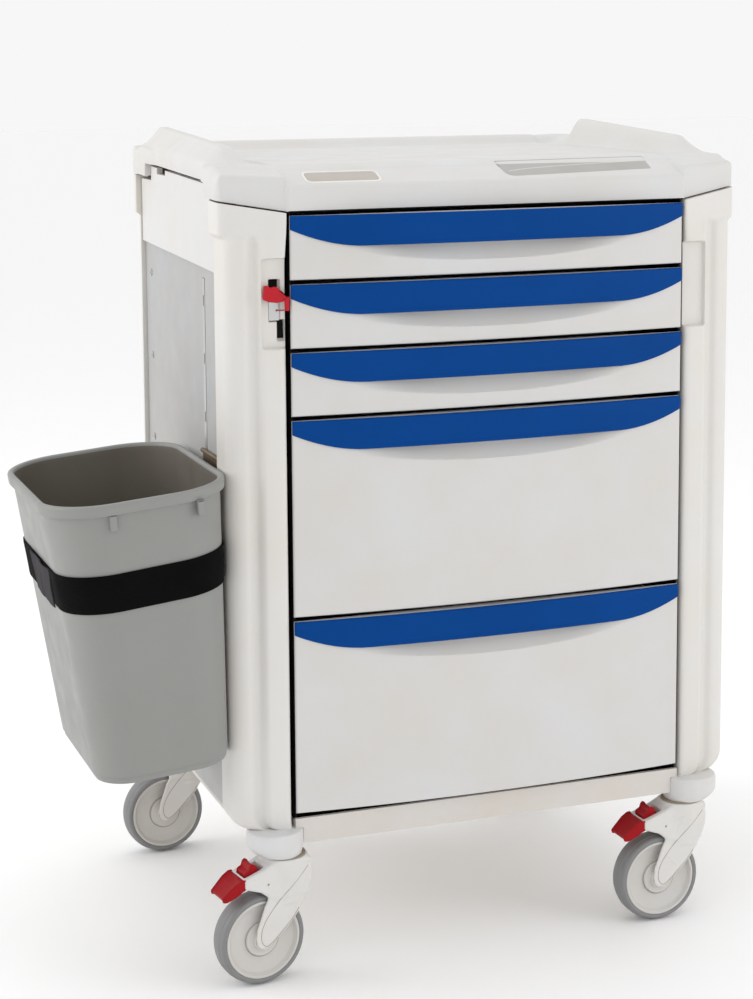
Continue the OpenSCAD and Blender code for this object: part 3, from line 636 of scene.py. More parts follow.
def column(left):
    n = 150
    lowc, highc = curve_through(LOW, n), curve_through(HIGH, n)
    # match the two by x across the face so that the head grows straight out of the shaft
    z = spread((208, 1.2), (232, 12), (848, 1.2), (862, 2.2), (892, 1.2), (950, 2), (966, 1.2), (980, 3), (995, 0.8), (1010, 4), (1032, 1))
    X = np.zeros((len(z), n))
    Y = np.zeros_like(X)
    Z = np.zeros_like(X)
    for k, h in enumerate(z):
        # inside the roll grows slowly into the head; outside it the face switches to the head between 997 and 1006
        wx = smooth(lowc[:, 0], 317, 325)
        drop = 12.0 * smooth(lowc[:, 0], 346, 366)
        t = (1 - wx) * smooth(h, 952, 1026) + wx * smooth(h, 997 - drop * 0, 1006)
        t = t[:, None]
        q = lowc * (1 - t) + highc * t
        x, y = q[:, 0].copy(), q[:, 1].copy()
        # below 234 the face draws in on a 26 mm round towards the foot
        zz = np.full(n, h)
        if h < 234:
            r = 26.0
            c = 234.0
            reach = HW - r + math.sqrt(max(r * r - (c - h) ** 2, 0))
            x = 286 + (x - 286) * (reach - 286) / (HW - 286)
        # hand pocket
        sx, sz = np.abs(x - 296.6) - 25.6 + 5, abs(h - 914.5) - 59.5 + 5
        sd = np.sqrt(np.maximum(sx, 0) ** 2 + max(sz, 0) ** 2) + np.minimum(np.maximum(sx, sz), 0) - 5
        face = (y < 9) & (x > 286.5)
        depth = 8.5 * smooth(-sd, -0.6, 2.6)
        y = np.where(face, np.maximum(y, y * (1 - depth / 8.5) + (9.2) * depth / 8.5), y)
        if left:
            for (a, b, c0, c1) in ((296, 310.5, 891, 946), (288.5, 299.5, 866, 893)):
                dx, dz = np.abs(x - (a + b) / 2) - (b - a) / 2 + 1.5, abs(h - (c0 + c1) / 2) - (c1 - c0) / 2 + 1.5
                sl = np.sqrt(np.maximum(dx, 0) ** 2 + max(dz, 0) ** 2) + np.minimum(np.maximum(dx, dz), 0) - 1.5
                y = np.where(face, y + 9.5 * smooth(-sl, -0.5, 0.9), y)
            y = np.minimum(y, np.where(face, 19.5, 1e9))
        top = SKIRT - 2.0 + np.maximum(x - 286, 0) * 0.158 + rising(y)
        if h > 1012:
            zz = 1012 + (h - 1012) / 20.0 * (top - 1012)
        X[k], Y[k], Z[k] = x, y, zz
    v = np.stack([X, Y, Z], 2).reshape(-1, 3)
    faces = grid_faces(len(z), n)
    # back return, then end caps
    m = len(v)
    back = np.stack([np.tile(np.array([289.0, 366.0])[None, :], (len(z), 1)), np.tile(np.array([60.0, 60.0])[None, :], (len(z), 1)), np.repeat(Z.mean(1)[:, None], 2, 1)], 2)
    for k in range(len(z)):
        back[k, 0] = (289.0, 58.0, Z[k, 0])
        back[k, 1] = (X[k, -1] - 3, 61.0, Z[k, -1])
    v = np.vstack([v, back.reshape(-1, 3)])
    for k in range(len(z) - 1):
        a, b = m + 2 * k, m + 2 * (k + 1)
        faces.append([k * n, a, b, (k + 1) * n][::-1])
        faces.append([a, a + 1, b + 1, b][::-1])
        faces.append([a + 1, k * n + n - 1, (k + 1) * n + n - 1, b + 1][::-1])
    faces.append([i for i in range(n)] + [m + 1, m])
    k = len(z) - 1
    faces.append(([k * n + i for i in range(n)] + [m + 2 * k + 1, m + 2 * k])[::-1])
    if left:
        v = v * np.array([-1, 1, 1])
        faces = [q[::-1] for q in faces]
    return v, [q[::-1] for q in faces]


make("column_front_left_shell", *column(True), COLUMN_PAINTED_LIGHT, "cabinet", rep=("column_front_left",), sharp=40, slot="shell_shade")
make("column_front_right_shell", *column(False), COLUMN_PAINTED_LIGHT, "cabinet", rep=("column_front_right",), sharp=40, slot="shell_shade")


def column_rear(left):
    lowp = rounded([(286, 540), (286, 482), (292, 457.5), (369, 457.5), (369, 463), (363, 476), (323, 540)], [1, 6, 4, 1.5, 5, 8, 8], 6)[::-1]
    highp = rounded([(286, 540), (286, 482), (292, 457.5), (375.5, 457.5), (375.5, 467), (370, 480), (331, 540)], [1, 6, 4, 2, 6, 9, 8], 6)[::-1]
    rings = []
    z = spread((208, 1.2), (234, 40), (994, 1), (1008, 8), (1034, 1))
    for h in z:
        t = float(smooth(h, 999, 1006))
        p = lowp * (1 - t) + highp * t
        q = p.copy()
        if h < 234:
            reach = HW - 26 + math.sqrt(max(26 * 26 - (234 - h) ** 2, 0))
            q[:, 0] = 286 + (q[:, 0] - 286) * (reach - 286) / (HW - 286)
        top = SKIRT - 2.0 + np.maximum(q[:, 0] - 286, 0) * 0.158 + rising(q[:, 1])
        zz = np.full(len(q), h) if h <= 1008 else 1008 + (h - 1008) / 26.0 * (top - 1008)
        rings.append(np.column_stack([q, zz]))
    v, f = loft(rings)
    if left:
        v = v * np.array([-1, 1, 1])
        f = [q[::-1] for q in f]
    return v, f


make("column_rear_left_shell", *column_rear(True), COLUMN_PAINTED_LIGHT, "cabinet", rep=("column_rear_left",), sharp=40, slot="shell_shade")
make("column_rear_right_shell", *column_rear(False), COLUMN_PAINTED_LIGHT, "cabinet", rep=("column_rear_right",), sharp=40, slot="shell_shade")

# ------------------------------------------------------------------ boots
parts = []
for s in (-1, 1):
    for y in (13.0, 527.0):
        rings = []
        for z, w, l, r, cx in ((173, 58, 58, 28.9, 304.8), (173.6, 60.5, 60, 29.9, 305.2), (176, 64.5, 63.5, 31.5, 307), (179.5, 69.5, 67.5, 33.2, 309),
                               (183, 73.2, 70.2, 34.2, 310.3), (187, 75.3, 71.6, 34.6, 310.9), (191, 76, 72, 34.8, 311), (203, 76, 72, 34.8, 311),
                               (205.3, 75.4, 71.4, 34.5, 311), (207.1, 73.6, 69.6, 33.6, 311), (208, 71, 67, 32.4, 311)):
            q = rrect(w, l, r, 16, s * cx, y)
            rings.append(np.column_stack([q, np.full(len(q), z)]))
        parts.append(loft(rings))
make("corner_boot_shells", *join(*parts), WHITE, "cabinet", rep=("corner_boots",), sharp=50, slot="shell_white")
parts = []
for s in (-1, 1):
    for y in (13.0, 527.0):
        q = rrect(57.6, 57.6, 28.7, 16, s * 298.6, y)
        parts.append(loft([np.column_stack([q, np.full(len(q), 171.8)]), np.column_stack([q, np.full(len(q), 173.4)])]))
make("boot_seam_rings", *join(*parts), LINE, "cabinet")

# ------------------------------------------------------------------ drawers
FW, BOW = 283.5, 14.0
FIRST, UNIT, GAP = 224.5, 89.6, 6.0
DZ = [FIRST + 8 * UNIT, FIRST + 7 * UNIT, FIRST + 6 * UNIT, FIRST + 3 * UNIT, FIRST]
DU = [1, 1, 1, 3, 3]


def pull_low(x):
    a = np.abs(x)
    return 41.0 - 23.0 * np.clip((a - 185) / (FW - 185), 0, 1) ** 1.9


def drawer_front(z0, z1):
    xs = spread((0, 5), (160, 3), (206, 6), (276, 0.7), (283.5, 1))
    xs = np.concatenate([-xs[::-1][:-1], xs])
    zs = spread((z0, 0.6), (z0 + 5, 9), (z1 - 74, 1.5), (z1 - 30, 3), (z1 - 5, 0.6), (z1, 1)) if z1 - z0 > 90 else spread((z0, 0.6), (z0 + 5, 2), (z0 + 10, 1.5), (z1 - 30, 3), (z1 - 5, 0.6), (z1, 1))
    X, Z = np.meshgrid(xs, zs, indexing="ij")
    t = X / FW
    Y = -BOW * (1 - t * t)
    e = np.minimum(np.minimum(X + FW, FW - X), np.minimum(Z - z0, z1 - Z))
    r = 2.6
    Y = Y + r - np.sqrt(np.maximum(r * r - np.maximum(r - e, 0) ** 2, 0))
    a = np.abs(X) / 204.0
    zb = z1 - 41 - 24.0 * np.sqrt(np.maximum(1 - a * a, 0)) ** 1.25
    s = np.clip((Z - zb) / 26.0, 0, 1)
    depth = np.minimum(12.5, 1.0 - Y) * (1 - np.clip(a, 0, 1) ** 5)
    Y = Y + np.where(a < 1, depth * np.sin(math.pi / 2 * s) ** 0.9 * (1 - smooth(Z, z1 - 11, z1 - 9)), 0)
    nx, nz = X.shape
    v = np.stack([X, Y, Z], 2).reshape(-1, 3)
    f = grid_faces(nx, nz)
    loop = [i * nz for i in range(nx)] + [(nx - 1) * nz + j for j in range(1, nz)]
    loop += [i * nz + nz - 1 for i in range(nx - 2, -1, -1)] + [j for j in range(nz - 2, 0, -1)]
    n, m = len(loop), len(v)
    back = v[loop].copy()
    back[:, 1] = 3.9
    v = np.vstack([v, back])
    for i in range(n):
        j = (i + 1) % n
        f.append([loop[j], loop[i], m + i, m + j])
    f.append([m + i for i in range(n)][::-1])
    return v, f


def drawer_pull(z1):
    xs = spread((0, 5), (170, 1), (180, 2.5), (270, 1.5), (280, 0.7), (283.5, 1))
    xs = np.concatenate([-xs[::-1][:-1], xs])
    rings = []
    for x in xs:
        t = x / FW
        yb, p, h = -BOW * (1 - t * t), -18.0 * (1 - t * t) - 1.6, float(pull_low(x))
        lip = 0.55 * (1 - float(smooth(abs(x), 172, 177)))
        c = 0.9 * max(0.0, (abs(x) - 280.5) / 3.0) ** 2      # ends are eased back
        p = p + c
        sec = [(yb + 1.0, z1), (p + 2.6, z1), (p + 1.3, z1 - 0.35), (p + 0.4, z1 - 1.1), (p, z1 - 2.3), (p, z1 - h * 0.5),
               (p, z1 - h + 4.4), (p - lip, z1 - h + 3.7), (p - lip, z1 - h + 1.4), (p - lip + 0.5, z1 - h + 0.4), (p + 1.0, z1 - h),
               (p + 2.0, z1 - h + 0.3), (p + 2.5, z1 - h + 1.2), (p + 2.5, z1 - 3.4), (max(yb + 1.0, p + 2.6), z1 - 3.4)]
        rings.append(np.array([(x, a, b) for a, b in sec]))
    return loft(rings)


for i in range(5):
    z0, z1 = DZ[i] + GAP / 2, DZ[i] + DU[i] * UNIT - GAP / 2
    k = i + 1
    make(f"drawer_{k}_front_shell", *drawer_front(z0, z1), FRONT, f"drawer_{k}", rep=(f"drawer_{k}_front",), sharp=24, slot="front_white")
    make(f"drawer_{k}_pull_shell", *drawer_pull(z1), BLUE, f"drawer_{k}", rep=(f"drawer_{k}_pull",), sharp=34, slot="pull_blue")

# label on the sloping zone
xa, xb = 0.0, 1.0
L_LT, L_LB, L_RB, L_RT = (23.5, 53.0), (27.0, 9.5), (245.0, 20.5), (248.0, 58.0)
corner = rounded([L_LB, L_RB, L_RT, L_LT], [14, 2, 2, 2], 8)


def curve_y(x):
    t = np.clip((np.asarray(x, float) - 25) / 222.0, 0, 1)
    return 16.0 + 27.0 * t ** 0.42


def dense(poly, h=3.0):
    p = np.asarray(poly, float)
    out = []
    for i in range(len(p)):
        a, b = p[i], p[(i + 1) % len(p)]
        n = max(1, int(np.linalg.norm(b - a) / h))
        out += [a + (b - a) * k / n for k in range(n)]
    return np.array(out)


label_piece("label_field", dense(corner), LABEL, 0.35)
xs = np.linspace(33, 243, 70)
band = np.vstack([np.column_stack([xs, curve_y(xs) - 0.9]), np.column_stack([xs[::-1], curve_y(xs[::-1]) + 0.9])])
label_piece("label_curve", band, LABEL_LINE, 0.5)

# ------------------------------------------------------------------ lock slot, hasp and seal
# thin black sheet deep in the left column's lock slot: painted shade of the slot
slot_shade = prism([(-312, 862), (-288, 862), (-288, 949), (-312, 949)], 17.6, 18.4, 0.2, 1, put=lambda v: np.column_stack([v[:, 0], v[:, 2], v[:, 1]]))
make("lock_slot_painted_shade", slot_shade[0], [q[::-1] for q in slot_shade[1]], BLACK_FRAME_AND_SLOT_SHADE, "cabinet")


def flat_front(poly, y0, y1, r, n=4):
    """Outline in (x, z) extruded from y0 (back) to y1 (front, smaller y)."""
    p = np.asarray(poly, float)
    v, f = prism(p, 0, y0 - y1, r, n)
    return np.column_stack([v[:, 0], y0 - v[:, 2], v[:, 1]]), f


blob = rounded([(-321.5, 921), (-314, 917.5), (-303, 916), (-294, 917), (-290.5, 922), (-294, 928), (-300, 935.5), (-306, 937.5), (-311, 936), (-316, 939.5), (-320.5, 938), (-320, 932)], 3.0, 5)
arm = rounded([(-297, 924), (-290, 918.5), (-284.9, 919.5), (-284.9, 923), (-290, 925), (-297, 932), (-301, 934)], 1.3, 4)
drop = rounded([(-293.4, 921), (-292.6, 905.5), (-286.6, 905), (-286.4, 919), (-289, 923)], 1.5, 4)
loopw = tube([(-291, 1.5, 906.5), (-293, 6, 905.5), (-297, 9, 905), (-300, 12.6, 905)], 0.7, 10)
seal = join(flat_front(blob, 4.2, -1.6, 1.9), flat_front(arm, 1.6, -2.2, 1.2), flat_front(drop, -0.7, -3.4, 1.0), loopw)
make("tamper_seal", *seal, RED, "lock", rep=("seal_tag",), sharp=50, slot="seal_red")

# ------------------------------------------------------------------ casters
AX, AZ, WR, TR = 40.0, 62.5, 62.5, 40.0
H = 1.15
GU = np.arange(-36, 84, H)
GV = np.arange(-30 * H, 30.5 * H, H)
GW = np.arange(44, 176, H)
U2, W2 = np.meshgrid(GU, GW, indexing="ij")
U3, V3, W3 = np.meshgrid(GU, GV, GW, indexing="ij")

LEG = rounded([(-29.4, 156), (-28.2, 136), (-22, 118), (-15.5, 104), (-8, 91.5), (5, 76.5), (22, 61.5), (33, 52.5), (40, 50), (47, 51.5), (52, 57), (53.6, 66),
               (52, 80), (46.5, 93.5), (40.5, 110), (33.5, 123), (30, 135), (20, 150)], 5, 4)
HOUSE = rounded([(-29.5, 168), (-28.8, 140), (-21.5, 119), (10, 118), (33, 121), (46, 131), (67, 138.5), (69.5, 141), (69.5, 152), (62, 154.5), (44, 160.5), (30, 167), (24, 169)], 3, 4)
HOUSE_FREE = rounded([(-29.5, 168), (-28.8, 140), (-21.5, 119), (10, 118), (33, 121), (46, 131), (60, 136), (64, 141), (62, 150), (50, 157), (30, 167), (24, 169)], 4, 4)
PANEL_MARK = np.array([(40.5, 56.2), (44, 59), (46.2, 66), (46, 75.3), (41.5, 88), (36, 96), (29, 105), (21, 114), (14, 122), (5, 131), (-2.5, 139), (-11, 147.5), (-18, 154), (-23, 158)])


def fork_field(braked):
    d_leg = np.repeat(sd_poly(LEG, U2, W2)[:, None, :], len(GV), 1)
    d_house = np.repeat(sd_poly(HOUSE if braked else HOUSE_FREE, U2, W2)[:, None, :], len(GV), 1)
    # legs swell slightly towards the crown
    half = 22.6 - 1.6 * smooth(120 - W3, 0, 60)
    leg = np.sqrt(np.maximum(d_leg + 3, 0) ** 2 + np.maximum(np.abs(V3) - half + 3, 0) ** 2) + np.minimum(np.maximum(d_leg + 3, np.abs(V3) - half + 3), 0) - 3
    hw2 = 23.6
    house = np.sqrt(np.maximum(d_house + 3.4, 0) ** 2 + np.maximum(np.abs(V3) - hw2 + 3.4, 0) ** 2) + np.minimum(np.maximum(d_house + 3.4, np.abs(V3) - hw2 + 3.4), 0) - 3.4
    rad = np.sqrt(U3 ** 2 + V3 ** 2)
    neck_r = 22.6 + 7.2 * smooth(W3, 116, 158) + 0.2 * smooth(W3, 150, 163)
    neck = np.maximum(rad - neck_r, np.maximum(W3 - 171.4, 112 - W3))
    body = smin(smin(leg, house, 5.0), neck, 7.0)
    body = np.maximum(body, W3 - 171.4)
    # slot for the wheel
    wheel = np.maximum(np.sqrt((U3 - AX) ** 2 + (W3 - AZ) ** 2) - 65.8, np.abs(V3) - 19.0)
    below = np.maximum(np.abs(V3) - 19.0, W3 - 96)
    slot = np.minimum(wheel, np.maximum(below, -(U3 + 60)))
    body = smax(body, -slot, 1.2)
    if braked:
        well = np.maximum(np.maximum(37.5 - U3, U3 - 65.6), np.maximum(np.abs(V3) - 13.5, 144.5 - W3))
        body = smax(body, -well, 0.8)
    return body


def caster_frame(sx, y, a):
    ar = math.radians(a)
    th = math.pi + ar
    c, s = math.cos(th), math.sin(th)

    def put(v):
        v = np.asarray(v, float)
        return np.column_stack([sx + c * v[:, 0] - s * v[:, 1], y + s * v[:, 0] + c * v[:, 1], v[:, 2]])
    return put


FIELD = {True: fork_field(True), False: fork_field(False)}
fork_b = surface(FIELD[True], (GU[0], GV[0], GW[0]), H, 2)
fork_f = surface(FIELD[False], (GU[0], GV[0], GW[0]), H, 2)


def lateral_at(path, braked):
    """Half width of the housing at each (u, w): the outermost change of sign along v."""
    f = FIELD[braked]
    out = []
    for u, w in path:
        i, k = int(round((u - GU[0]) / H)), int(round((w - GW[0]) / H))
        col = f[i, :, k]
        j = len(GV) - 1
        while j > len(GV) // 2 and col[j] > 0:
            j -= 1
        t = col[j] / (col[j] - col[j + 1]) if j + 1 < len(GV) and col[j] < 0 else 0
        out.append(GV[j] + t * H)
    out = np.array(out)
    for _ in range(4):
        out[1:-1] = (out[:-2] + 2 * out[1:-1] + out[2:]) / 4
    return out

hub_prof = [(5.0, -18.2), (13.2, -18.2), (14.2, -17.4), (15.0, -13.2), (17, -12.6), (22.2, -12.2), (23.2, -11.4), (23.9, -9.6), (24.4, -9.6), (24.9, -8.2), (27, -7.6), (36, -7.9), (43, -8.8), (46.5, -10.2), (48.6, -12.8),
            (49.8, -15.0), (50.8, -15.6), (52.4, -15.6), (53.2, -15.2), (53.5, -14.4)]
hub_prof = hub_prof + [(r, -h) for r, h in hub_prof[::-1]]
tyre_prof = [(53.4, -14.2), (53.8, -15.2), (54.6, -15.7), (57, -15.9), (58.6, -15.4), (60.0, -14.0), (61.0, -11.5), (61.3, -8.2), (61.9, -7.6), (62.3, -6.6), (62.5, -3), (62.5, 3)]
tyre_prof = tyre_prof + [(r, -h) for r, h in tyre_prof[::-1]][2:]


def stand(v, lat=0.0):
    """Local Z of a turned part becomes the axle line."""
    return np.column_stack([AX + v[:, 0], v[:, 2] + lat, AZ + v[:, 1]])


PED = rounded([(68.6, 140.6), (69.0, 152.2), (74, 151.8), (83, 146.5), (88.5, 141.5), (99.5, 131.5), (98.6, 127.6), (94, 127.2), (82, 132.8), (74, 138)], [1.5, 1.5, 2, 3, 3, 2, 2, 2, 3, 2], 4)
TAB = rounded([(40.5, 148), (40, 154.5), (46, 158.5), (51.5, 166.8), (54.5, 168.4), (56.5, 166.5), (58.5, 160.5), (63.8, 157.6), (64.4, 155.4), (64, 148)], [1, 1, 2.0, 1.2, 0.8, 0.8, 2, 1, 1, 1], 4)
ROD = rounded([(62, 146.2), (71, 142.6), (71, 146.6), (62, 149.6)], 0.8, 3)
for name, sx, y, a, braked in (("fl", -297.5, 13.0, 8.5, True), ("fr", 297.5, 13.0, 1.8, True), ("rl", -297.5, 527.0, 5.0, False), ("rr", 297.5, 527.0, 3.0, False)):
    put = caster_frame(sx, y, a)
    v, f = fork_b if braked else fork_f
    make(f"caster_{name}_housing", put(v), f, CASTER, f"caster_{name}", rep=(f"caster_{name}_fork",), sharp=None, slot="caster_white")
    marks = []
    for side in (-1, 1):
        pts = PANEL_MARK
        back = np.array([(38, 54.2), (31, 57.5), (23, 64.5), (9, 77.5), (-4, 91.5), (-9.5, 101)])
        path = np.vstack([back[::-1], pts])
        fine = []
        for q0, q1 in zip(path[:-1], path[1:]):
            for t in (0, 0.34, 0.67):
                fine.append(q0 + (q1 - q0) * t)
        path = np.array(fine + [path[-1]])
        for _ in range(3):
            path[1:-1] = (path[:-2] + 2 * path[1:-1] + path[2:]) / 4
        hv = lateral_at(path, braked)
        marks.append(tube(np.column_stack([path[:, 0], side * (hv + 0.05), path[:, 1]]), 0.36, 6))
    for side in (-1, 1):
        for (u, w) in ((35.7, 141.5), (20.6, 147.5)):
            dv, df = prism(rrect(3.0, 3.0, 1.5, 5), 0, 0.7, 0.3, 2)
            marks.append((np.column_stack([u + dv[:, 0], side * (23.3 + dv[:, 2]), w + dv[:, 1]]), df))
    v, f = join(*marks)
    make(f"caster_{name}_mark_lines", put(v), f, LINE, f"caster_{name}")
    # the axle is hidden inside the legs
    av, af = revolve([(0.6, -20.0), (4.9, -20.0), (4.9, 20.0), (0.6, 20.0)], 48)
    make(f"caster_{name}_axle_rod", put(stand(av)), af, STEEL, f"caster_{name}", rep=(f"caster_{name}_axle",))
    hv, hf = revolve(hub_prof, 112)
    make(f"caster_{name}_hub_disc", put(stand(hv)), hf, HUB, f"caster_{name}_wheel", rep=(f"caster_{name}_hub",), sharp=28, slot="hub_white")
    rv, rf = join(*[(lambda q: (stand(q[0]), q[1]))(revolve([(24.0, s * 10.1), (24.35, s * 9.75), (24.7, s * 10.0), (24.35, s * 10.35)], 96)) for s in (-1, 1)])
    make(f"caster_{name}_hub_lines", put(rv), rf, LINE, f"caster_{name}_wheel")
    tv, tf = revolve(tyre_prof, 128)
    make(f"caster_{name}_tread", put(stand(tv)), tf, TYRE, f"caster_{name}_wheel", rep=(f"caster_{name}_tyre",), sharp=28, slot="tyre_grey")
    if braked:
        pv, pf = prism(PED, -21.8, 21.8, 1.6, 4)
        qv, qf = prism(TAB, -12.4, 12.4, 1.4, 4)
        wv, wf = prism(ROD, -8, 8, 0.6, 2)
        pieces = []
        for (vv, ff) in ((pv, pf), (qv, qf), (wv, wf)):
            vv = vv.copy()
            # the tip narrows a little
            k = 1 - 0.16 * smooth(vv[:, 0], 76, 100)
            pieces.append((np.column_stack([vv[:, 0], vv[:, 2] * k, vv[:, 1]]), ff))
        pv, pf = join(*pieces)
        make(f"caster_{name}_pedal_cap", put(pv), [q[::-1] for q in pf], PEDAL, f"caster_{name}_brake", rep=(f"caster_{name}_pedal",), sharp=38, slot="pedal_red")

# ------------------------------------------------------------------ bin
BW, BL, BH, TILT = 247.0, 360.0, 378.0, math.radians(5.2)


def in_bin(v):
    v = np.asarray(v, float)
    c, s = math.cos(TILT), math.sin(TILT)
    return np.column_stack([-494.5 + v[:, 0] * c - v[:, 2] * s, 126 + v[:, 1], 684.3 + v[:, 0] * s + v[:, 2] * c])


def wall(d, grow=0.0, n=20):
    w = BW - 12 - (BW - 12 - 180) * d / BH + 2 * grow
    l = BL - 12 - (BL - 12 - 290) * d / BH + 2 * grow
    p = rrect(w, l, max(78 - 26 * d / BH + grow, 3), n)
    return p


def at(p, d):
    return np.column_stack([p, np.full(len(p), -float(d))])


rings = [at(wall(375, -24), 375.5), at(wall(376, -12), 376.2), at(wall(377.5, -5), 378), at(wall(377.5, -2.6), 377.4), at(wall(376, -1.7), 375.6), at(wall(371, -1.6), 371),
         at(wall(369.5, -1.5), 369.4), at(wall(369, 0), 368.6)]
for d in np.linspace(362, 24, 30):
    rings.append(at(wall(d), d))
rings += [at(wall(17), 17), at(wall(15.6, 0.8), 15.6), at(wall(15, 4.6), 15.4), at(wall(15, 5.6), 14.8), at(wall(15, 6), 13.6), at(wall(8, 6), 8), at(wall(3, 5.8), 3.2),
          at(wall(1, 4.8), 1.2), at(wall(0, 3.2), 0.25), at(wall(0, 1.0), 0.0), at(wall(0, -1.2), 0.5), at(wall(1.4, -2.5), 1.8), at(wall(4, -3.0), 4.5)]
for d in np.linspace(12, 366, 26):
    rings.append(at(wall(d, -2.8), d))
rings += [at(wall(371, -4.5), 371), at(wall(373, -8), 373), at(wall(373, -30), 373.4)]
bv, bf = loft(rings)
nr = len(rings[0])
bin_obj = make("waste_bin_shell", in_bin(bv), bf, [BIN, BIN_IN], "bin", rep=("waste_bin",), sharp=40, slot="bin_grey")
first_in = 38 + 12
for poly in bin_obj.data.polygons:
    if min(poly.vertices) >= nr * first_in:
        poly.material_index = 1
ribs = []
for x in (-43.0, 71.0):
    yy = -(BL - 12) / 2 - 2.6
    sec = rounded([(x - 4.6, -15.0), (x - 4.4, -36), (x + 4.4, -36), (x + 4.6, -15.0)], [0.3, 2, 2, 0.3], 4)
    v, f = prism(sec, 0, 8.0, 1.4, 3)
    yv = yy + 4.2 - v[:, 2] * 1.0 - v[:, 1] * 0.072 + 0.0
    ribs.append((np.column_stack([v[:, 0], yy + 6.0 - v[:, 2] + (-v[:, 1] - 15) * 0.075, v[:, 1]]), f))
rv, rf = join(*ribs)
make("waste_bin_ribs", in_bin(rv), rf, BIN, "bin", sharp=45)

# webbing loop and its hook-and-loop end
SD = 92.0


def lean(p, d, k=0.0):
    """Ring at depth d; the strap hangs a little lower on its outer side."""
    z = -d + k * p[:, 0]
    return np.column_stack([p, z])


KL = 0.022
srings = []
for d, g in ((SD, 0.35), (SD, 1.9), (SD + 3, 2.25), (SD + 14, 2.1), (SD + 25, 2.05), (SD + 36, 2.1), (SD + 47, 2.25), (SD + 50, 1.9), (SD + 50, 0.35), (SD + 36, 0.3), (SD + 25, 0.3), (SD + 14, 0.3)):
    srings.append(lean(wall(d, g, 24), d, KL))
sv = np.vstack(srings)
sf = []
n0, m0 = len(srings[0]), len(srings)
for k in range(m0):
    for i in range(n0):
        j = (i + 1) % n0
        sf.append([k * n0 + i, k * n0 + j, ((k + 1) % m0) * n0 + j, ((k + 1) % m0) * n0 + i][::-1])
strap = make("strap_band", in_bin(sv), sf, STRAP, "cabinet", rep=("bin_strap",), sharp=50, slot="strap_black")


def tail():
    ring = wall(SD + 25, 4.6, 40)
    # left long side, from the middle towards the front corner
    seg = [p for p in ring if p[0] < -40 and p[1] < 60]
    seg = np.array(sorted(seg, key=lambda p: -p[1]))
    s = np.concatenate([[0], np.cumsum(np.linalg.norm(np.diff(seg, axis=0), axis=1))])
    t = np.linspace(12, 114, 52)
    px, py = np.interp(t, s, seg[:, 0]), np.interp(t, s, seg[:, 1])
    nx = np.gradient(py)
    ny = -np.gradient(px)
    ln = np.hypot(nx, ny)
    nx, ny = nx / ln, ny / ln
    hs = np.linspace(-26, 26, 15)
    outer, inner = [], []
    for k in range(len(t)):
        q = (t[k] - 12) / 102.0
        for h in hs:
            wave = 0.9 * math.sin(q * 9 + h * 0.06) + 3.8 * max(0, q - 0.8) ** 1.2 * 5 * (0.5 + abs(h) / 40.0)
            ridge = 1.0 * math.exp(-((q - 0.52) / 0.035) ** 2)
            o = 1.3 + wave * 0.8 + ridge
            d = SD + 25 + h + 4.0 * q
            slopein = (BW - 12 - 180) / 2 / BH * h
            outer.append((px[k] + nx[k] * (-o) * -1 * -1 + slopein * 1.0, py[k] + ny[k] * (-o) * -1 * -1, -d + KL * px[k]))
            inner.append((px[k] + nx[k] * (-(o - 1.6)) * -1 * -1 + slopein * 1.0, py[k] + ny[k] * (-(o - 1.6)) * -1 * -1, -d + KL * px[k]))
    nt, nh = len(t), len(hs)
    v = np.array(outer + inner)
    f = grid_faces(nt, nh)
    f += [[a + nt * nh for a in q[::-1]] for q in grid_faces(nt, nh)]
    m = nt * nh
    loop = [i * nh for i in range(nt)] + [(nt - 1) * nh + j for j in range(1, nh)]
    loop += [i * nh + nh - 1 for i in range(nt - 2, -1, -1)] + [j for j in range(nh - 2, 0, -1)]
    for i in range(len(loop)):
        a, b = loop[i], loop[(i + 1) % len(loop)]
        f.append([b, a, a + m, b + m])
    # stitches along the seam
    st = []
    for c in (0.485, 0.555):
        k = int(c * (nt - 1))
        for h in range(1, nh - 1):
            for e in (-1.1, 1.1):
                a = np.array(outer[k * nh + h]) + np.array([-0.25, 0, e])
                st.append(tube([a + (0.1, 0, 0.9), a + (-0.35, 0, 0), a + (0.1, 0, -0.9)], 0.28, 6))
    return v, f, join(*st)


tv, tf, stitches = tail()
tail_obj = make("strap_tail", in_bin(tv), tf, TAIL, "cabinet", sharp=60)
make("strap_stitches", in_bin(stitches[0]), stitches[1], THREAD, "cabinet")

# ------------------------------------------------------------------ CAD nodes that stay, with their finishes
N = frame["nodes"]


def finish_node(name, mat, bevel=0.0, seg=2):
    o = N[name]
    o.data.materials.clear()
    o.data.materials.append(mat)
    if bevel:
        w = o.modifiers.new("weld", "WELD")
        w.merge_threshold = 0.00001
        b = o.modifiers.new("edge", "BEVEL")
        b.width = bevel / 1000
        b.segments = seg
        b.limit_method = "ANGLE"
        b.angle_limit = math.radians(40)
        b.harden_normals = False
        b.use_clamp_overlap = True


for s in ("left", "right"):
    finish_node("side_panel_" + s, PANEL)
    o = N["side_panel_" + s]
    o.data.materials.append(PANEL_LOWER_PAINTED_SHADE)
    zw = o.matrix_world
    for poly in o.data.polygons:
        c = zw @ poly.center
        n = zw.to_3x3() @ poly.normal
        # side-facing faces below 953 mm take the darker copy: painted shade low on the panel
        if c.z < 0.953 and abs(n.x) > 0.7:
            poly.material_index = 1
finish_node("back_panel", PANEL, 0.6)
finish_node("base_pan", BASE, 0)
finish_node("drawer_frame", BLACK_FRAME_AND_SLOT_SHADE)
finish_node("cabinet_slide_rails", STEEL)
finish_node("accessory_strips", GAL)
finish_node("panel_screws", STEEL)
finish_node("caster_stems", STEEL)
finish_node("lock_bar", STEEL)
finish_node("lock_hasp", STEEL)
finish_node("bin_hanger", BRONZE)
for k in range(1, 6):
    finish_node(f"drawer_{k}_tray", TRAY, 0.8)
    finish_node(f"drawer_{k}_slide_mid", STEEL)

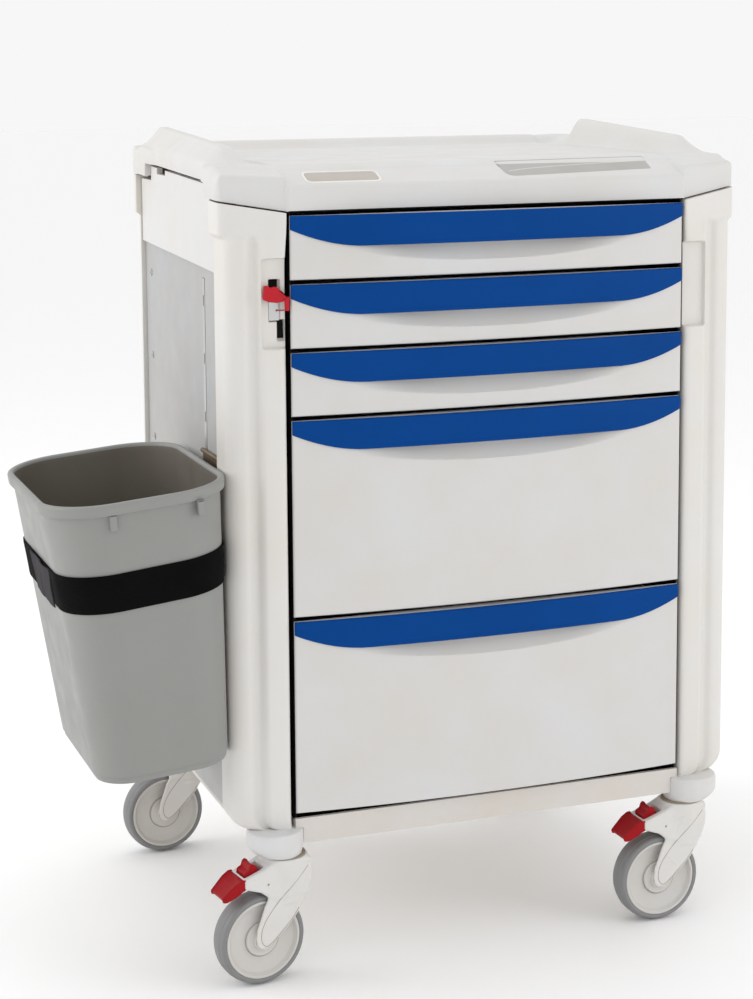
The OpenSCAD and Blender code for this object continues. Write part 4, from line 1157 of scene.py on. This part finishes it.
# ------------------------------------------------------------------ floor, light and camera
fm = material("floor", (0.998, 0.998, 0.998), rough=0.7, grain=60, bump=0.02, var=0.003, tint=(1, 1, 1), spec=0.22)
bpy.ops.mesh.primitive_plane_add(size=60, location=(0, 0, -0.0004))
floor = bpy.context.active_object
floor.name = "floor_plane"
floor.data.materials.append(fm)

w = bpy.data.worlds.new("studio")
bpy.context.scene.world = w
w.use_nodes = True
w.node_tree.nodes["Background"].inputs["Color"].default_value = (1, 1, 1, 1)
w.node_tree.nodes["Background"].inputs["Strength"].default_value = 0.93


def area(name, loc, target, size, power, color=(1, 1, 1)):
    li = bpy.data.lights.new(name, "AREA")
    li.shape = "RECTANGLE"
    li.size, li.size_y = size
    li.energy = power
    li.color = color
    o = bpy.data.objects.new(name, li)
    bpy.context.scene.collection.objects.link(o)
    o.location = loc
    o.rotation_mode = "QUATERNION"
    o.rotation_quaternion = (Vector(target) - Vector(loc)).to_track_quat("-Z", "Y")
    return o


area("side", (-3.6, 0.9, 1.9), (-0.2, 0, 0.6), (2.4, 2.0), 42)
area("fill", (2.9, -2.4, 1.5), (0.2, 0, 0.6), (2.0, 2.0), 19, (1, 1, 1))
area("top", (0.2, 0.6, 3.4), (0.1, 0, 0.8), (2.6, 2.6), 9)

# camera at the photograph's viewing angle
F_PX, CX, CY = 2152.706, 376.5, 330.0
YAW, PITCH, ROLL = math.radians(-19.922), math.radians(7.489), math.radians(-0.385)
fwd = Vector((-math.sin(YAW) * math.cos(PITCH), math.cos(YAW) * math.cos(PITCH), -math.sin(PITCH)))
right0 = Vector((math.cos(YAW), math.sin(YAW), 0))
up0 = right0.cross(fwd)
right = math.cos(ROLL) * right0 + math.sin(ROLL) * up0
up = -math.sin(ROLL) * right0 + math.cos(ROLL) * up0
cam = bpy.data.cameras.new("camera")
cam.sensor_width = 36.0
cam.lens = F_PX / 999 * 36.0
cam.shift_x = (376.5 - CX) / 999
cam.shift_y = (CY - 499.5) / 999
co = bpy.data.objects.new("camera", cam)
bpy.context.scene.collection.objects.link(co)
m = Matrix((right, up, -fwd)).transposed().to_4x4()
m.translation = Vector(((-1122.727 + 123.5) / 1000, (-2639.758 - 254.5) / 1000, 1.24301))
co.matrix_world = m
bpy.context.scene.camera = co
bpy.context.scene.view_settings.view_transform = "Standard"
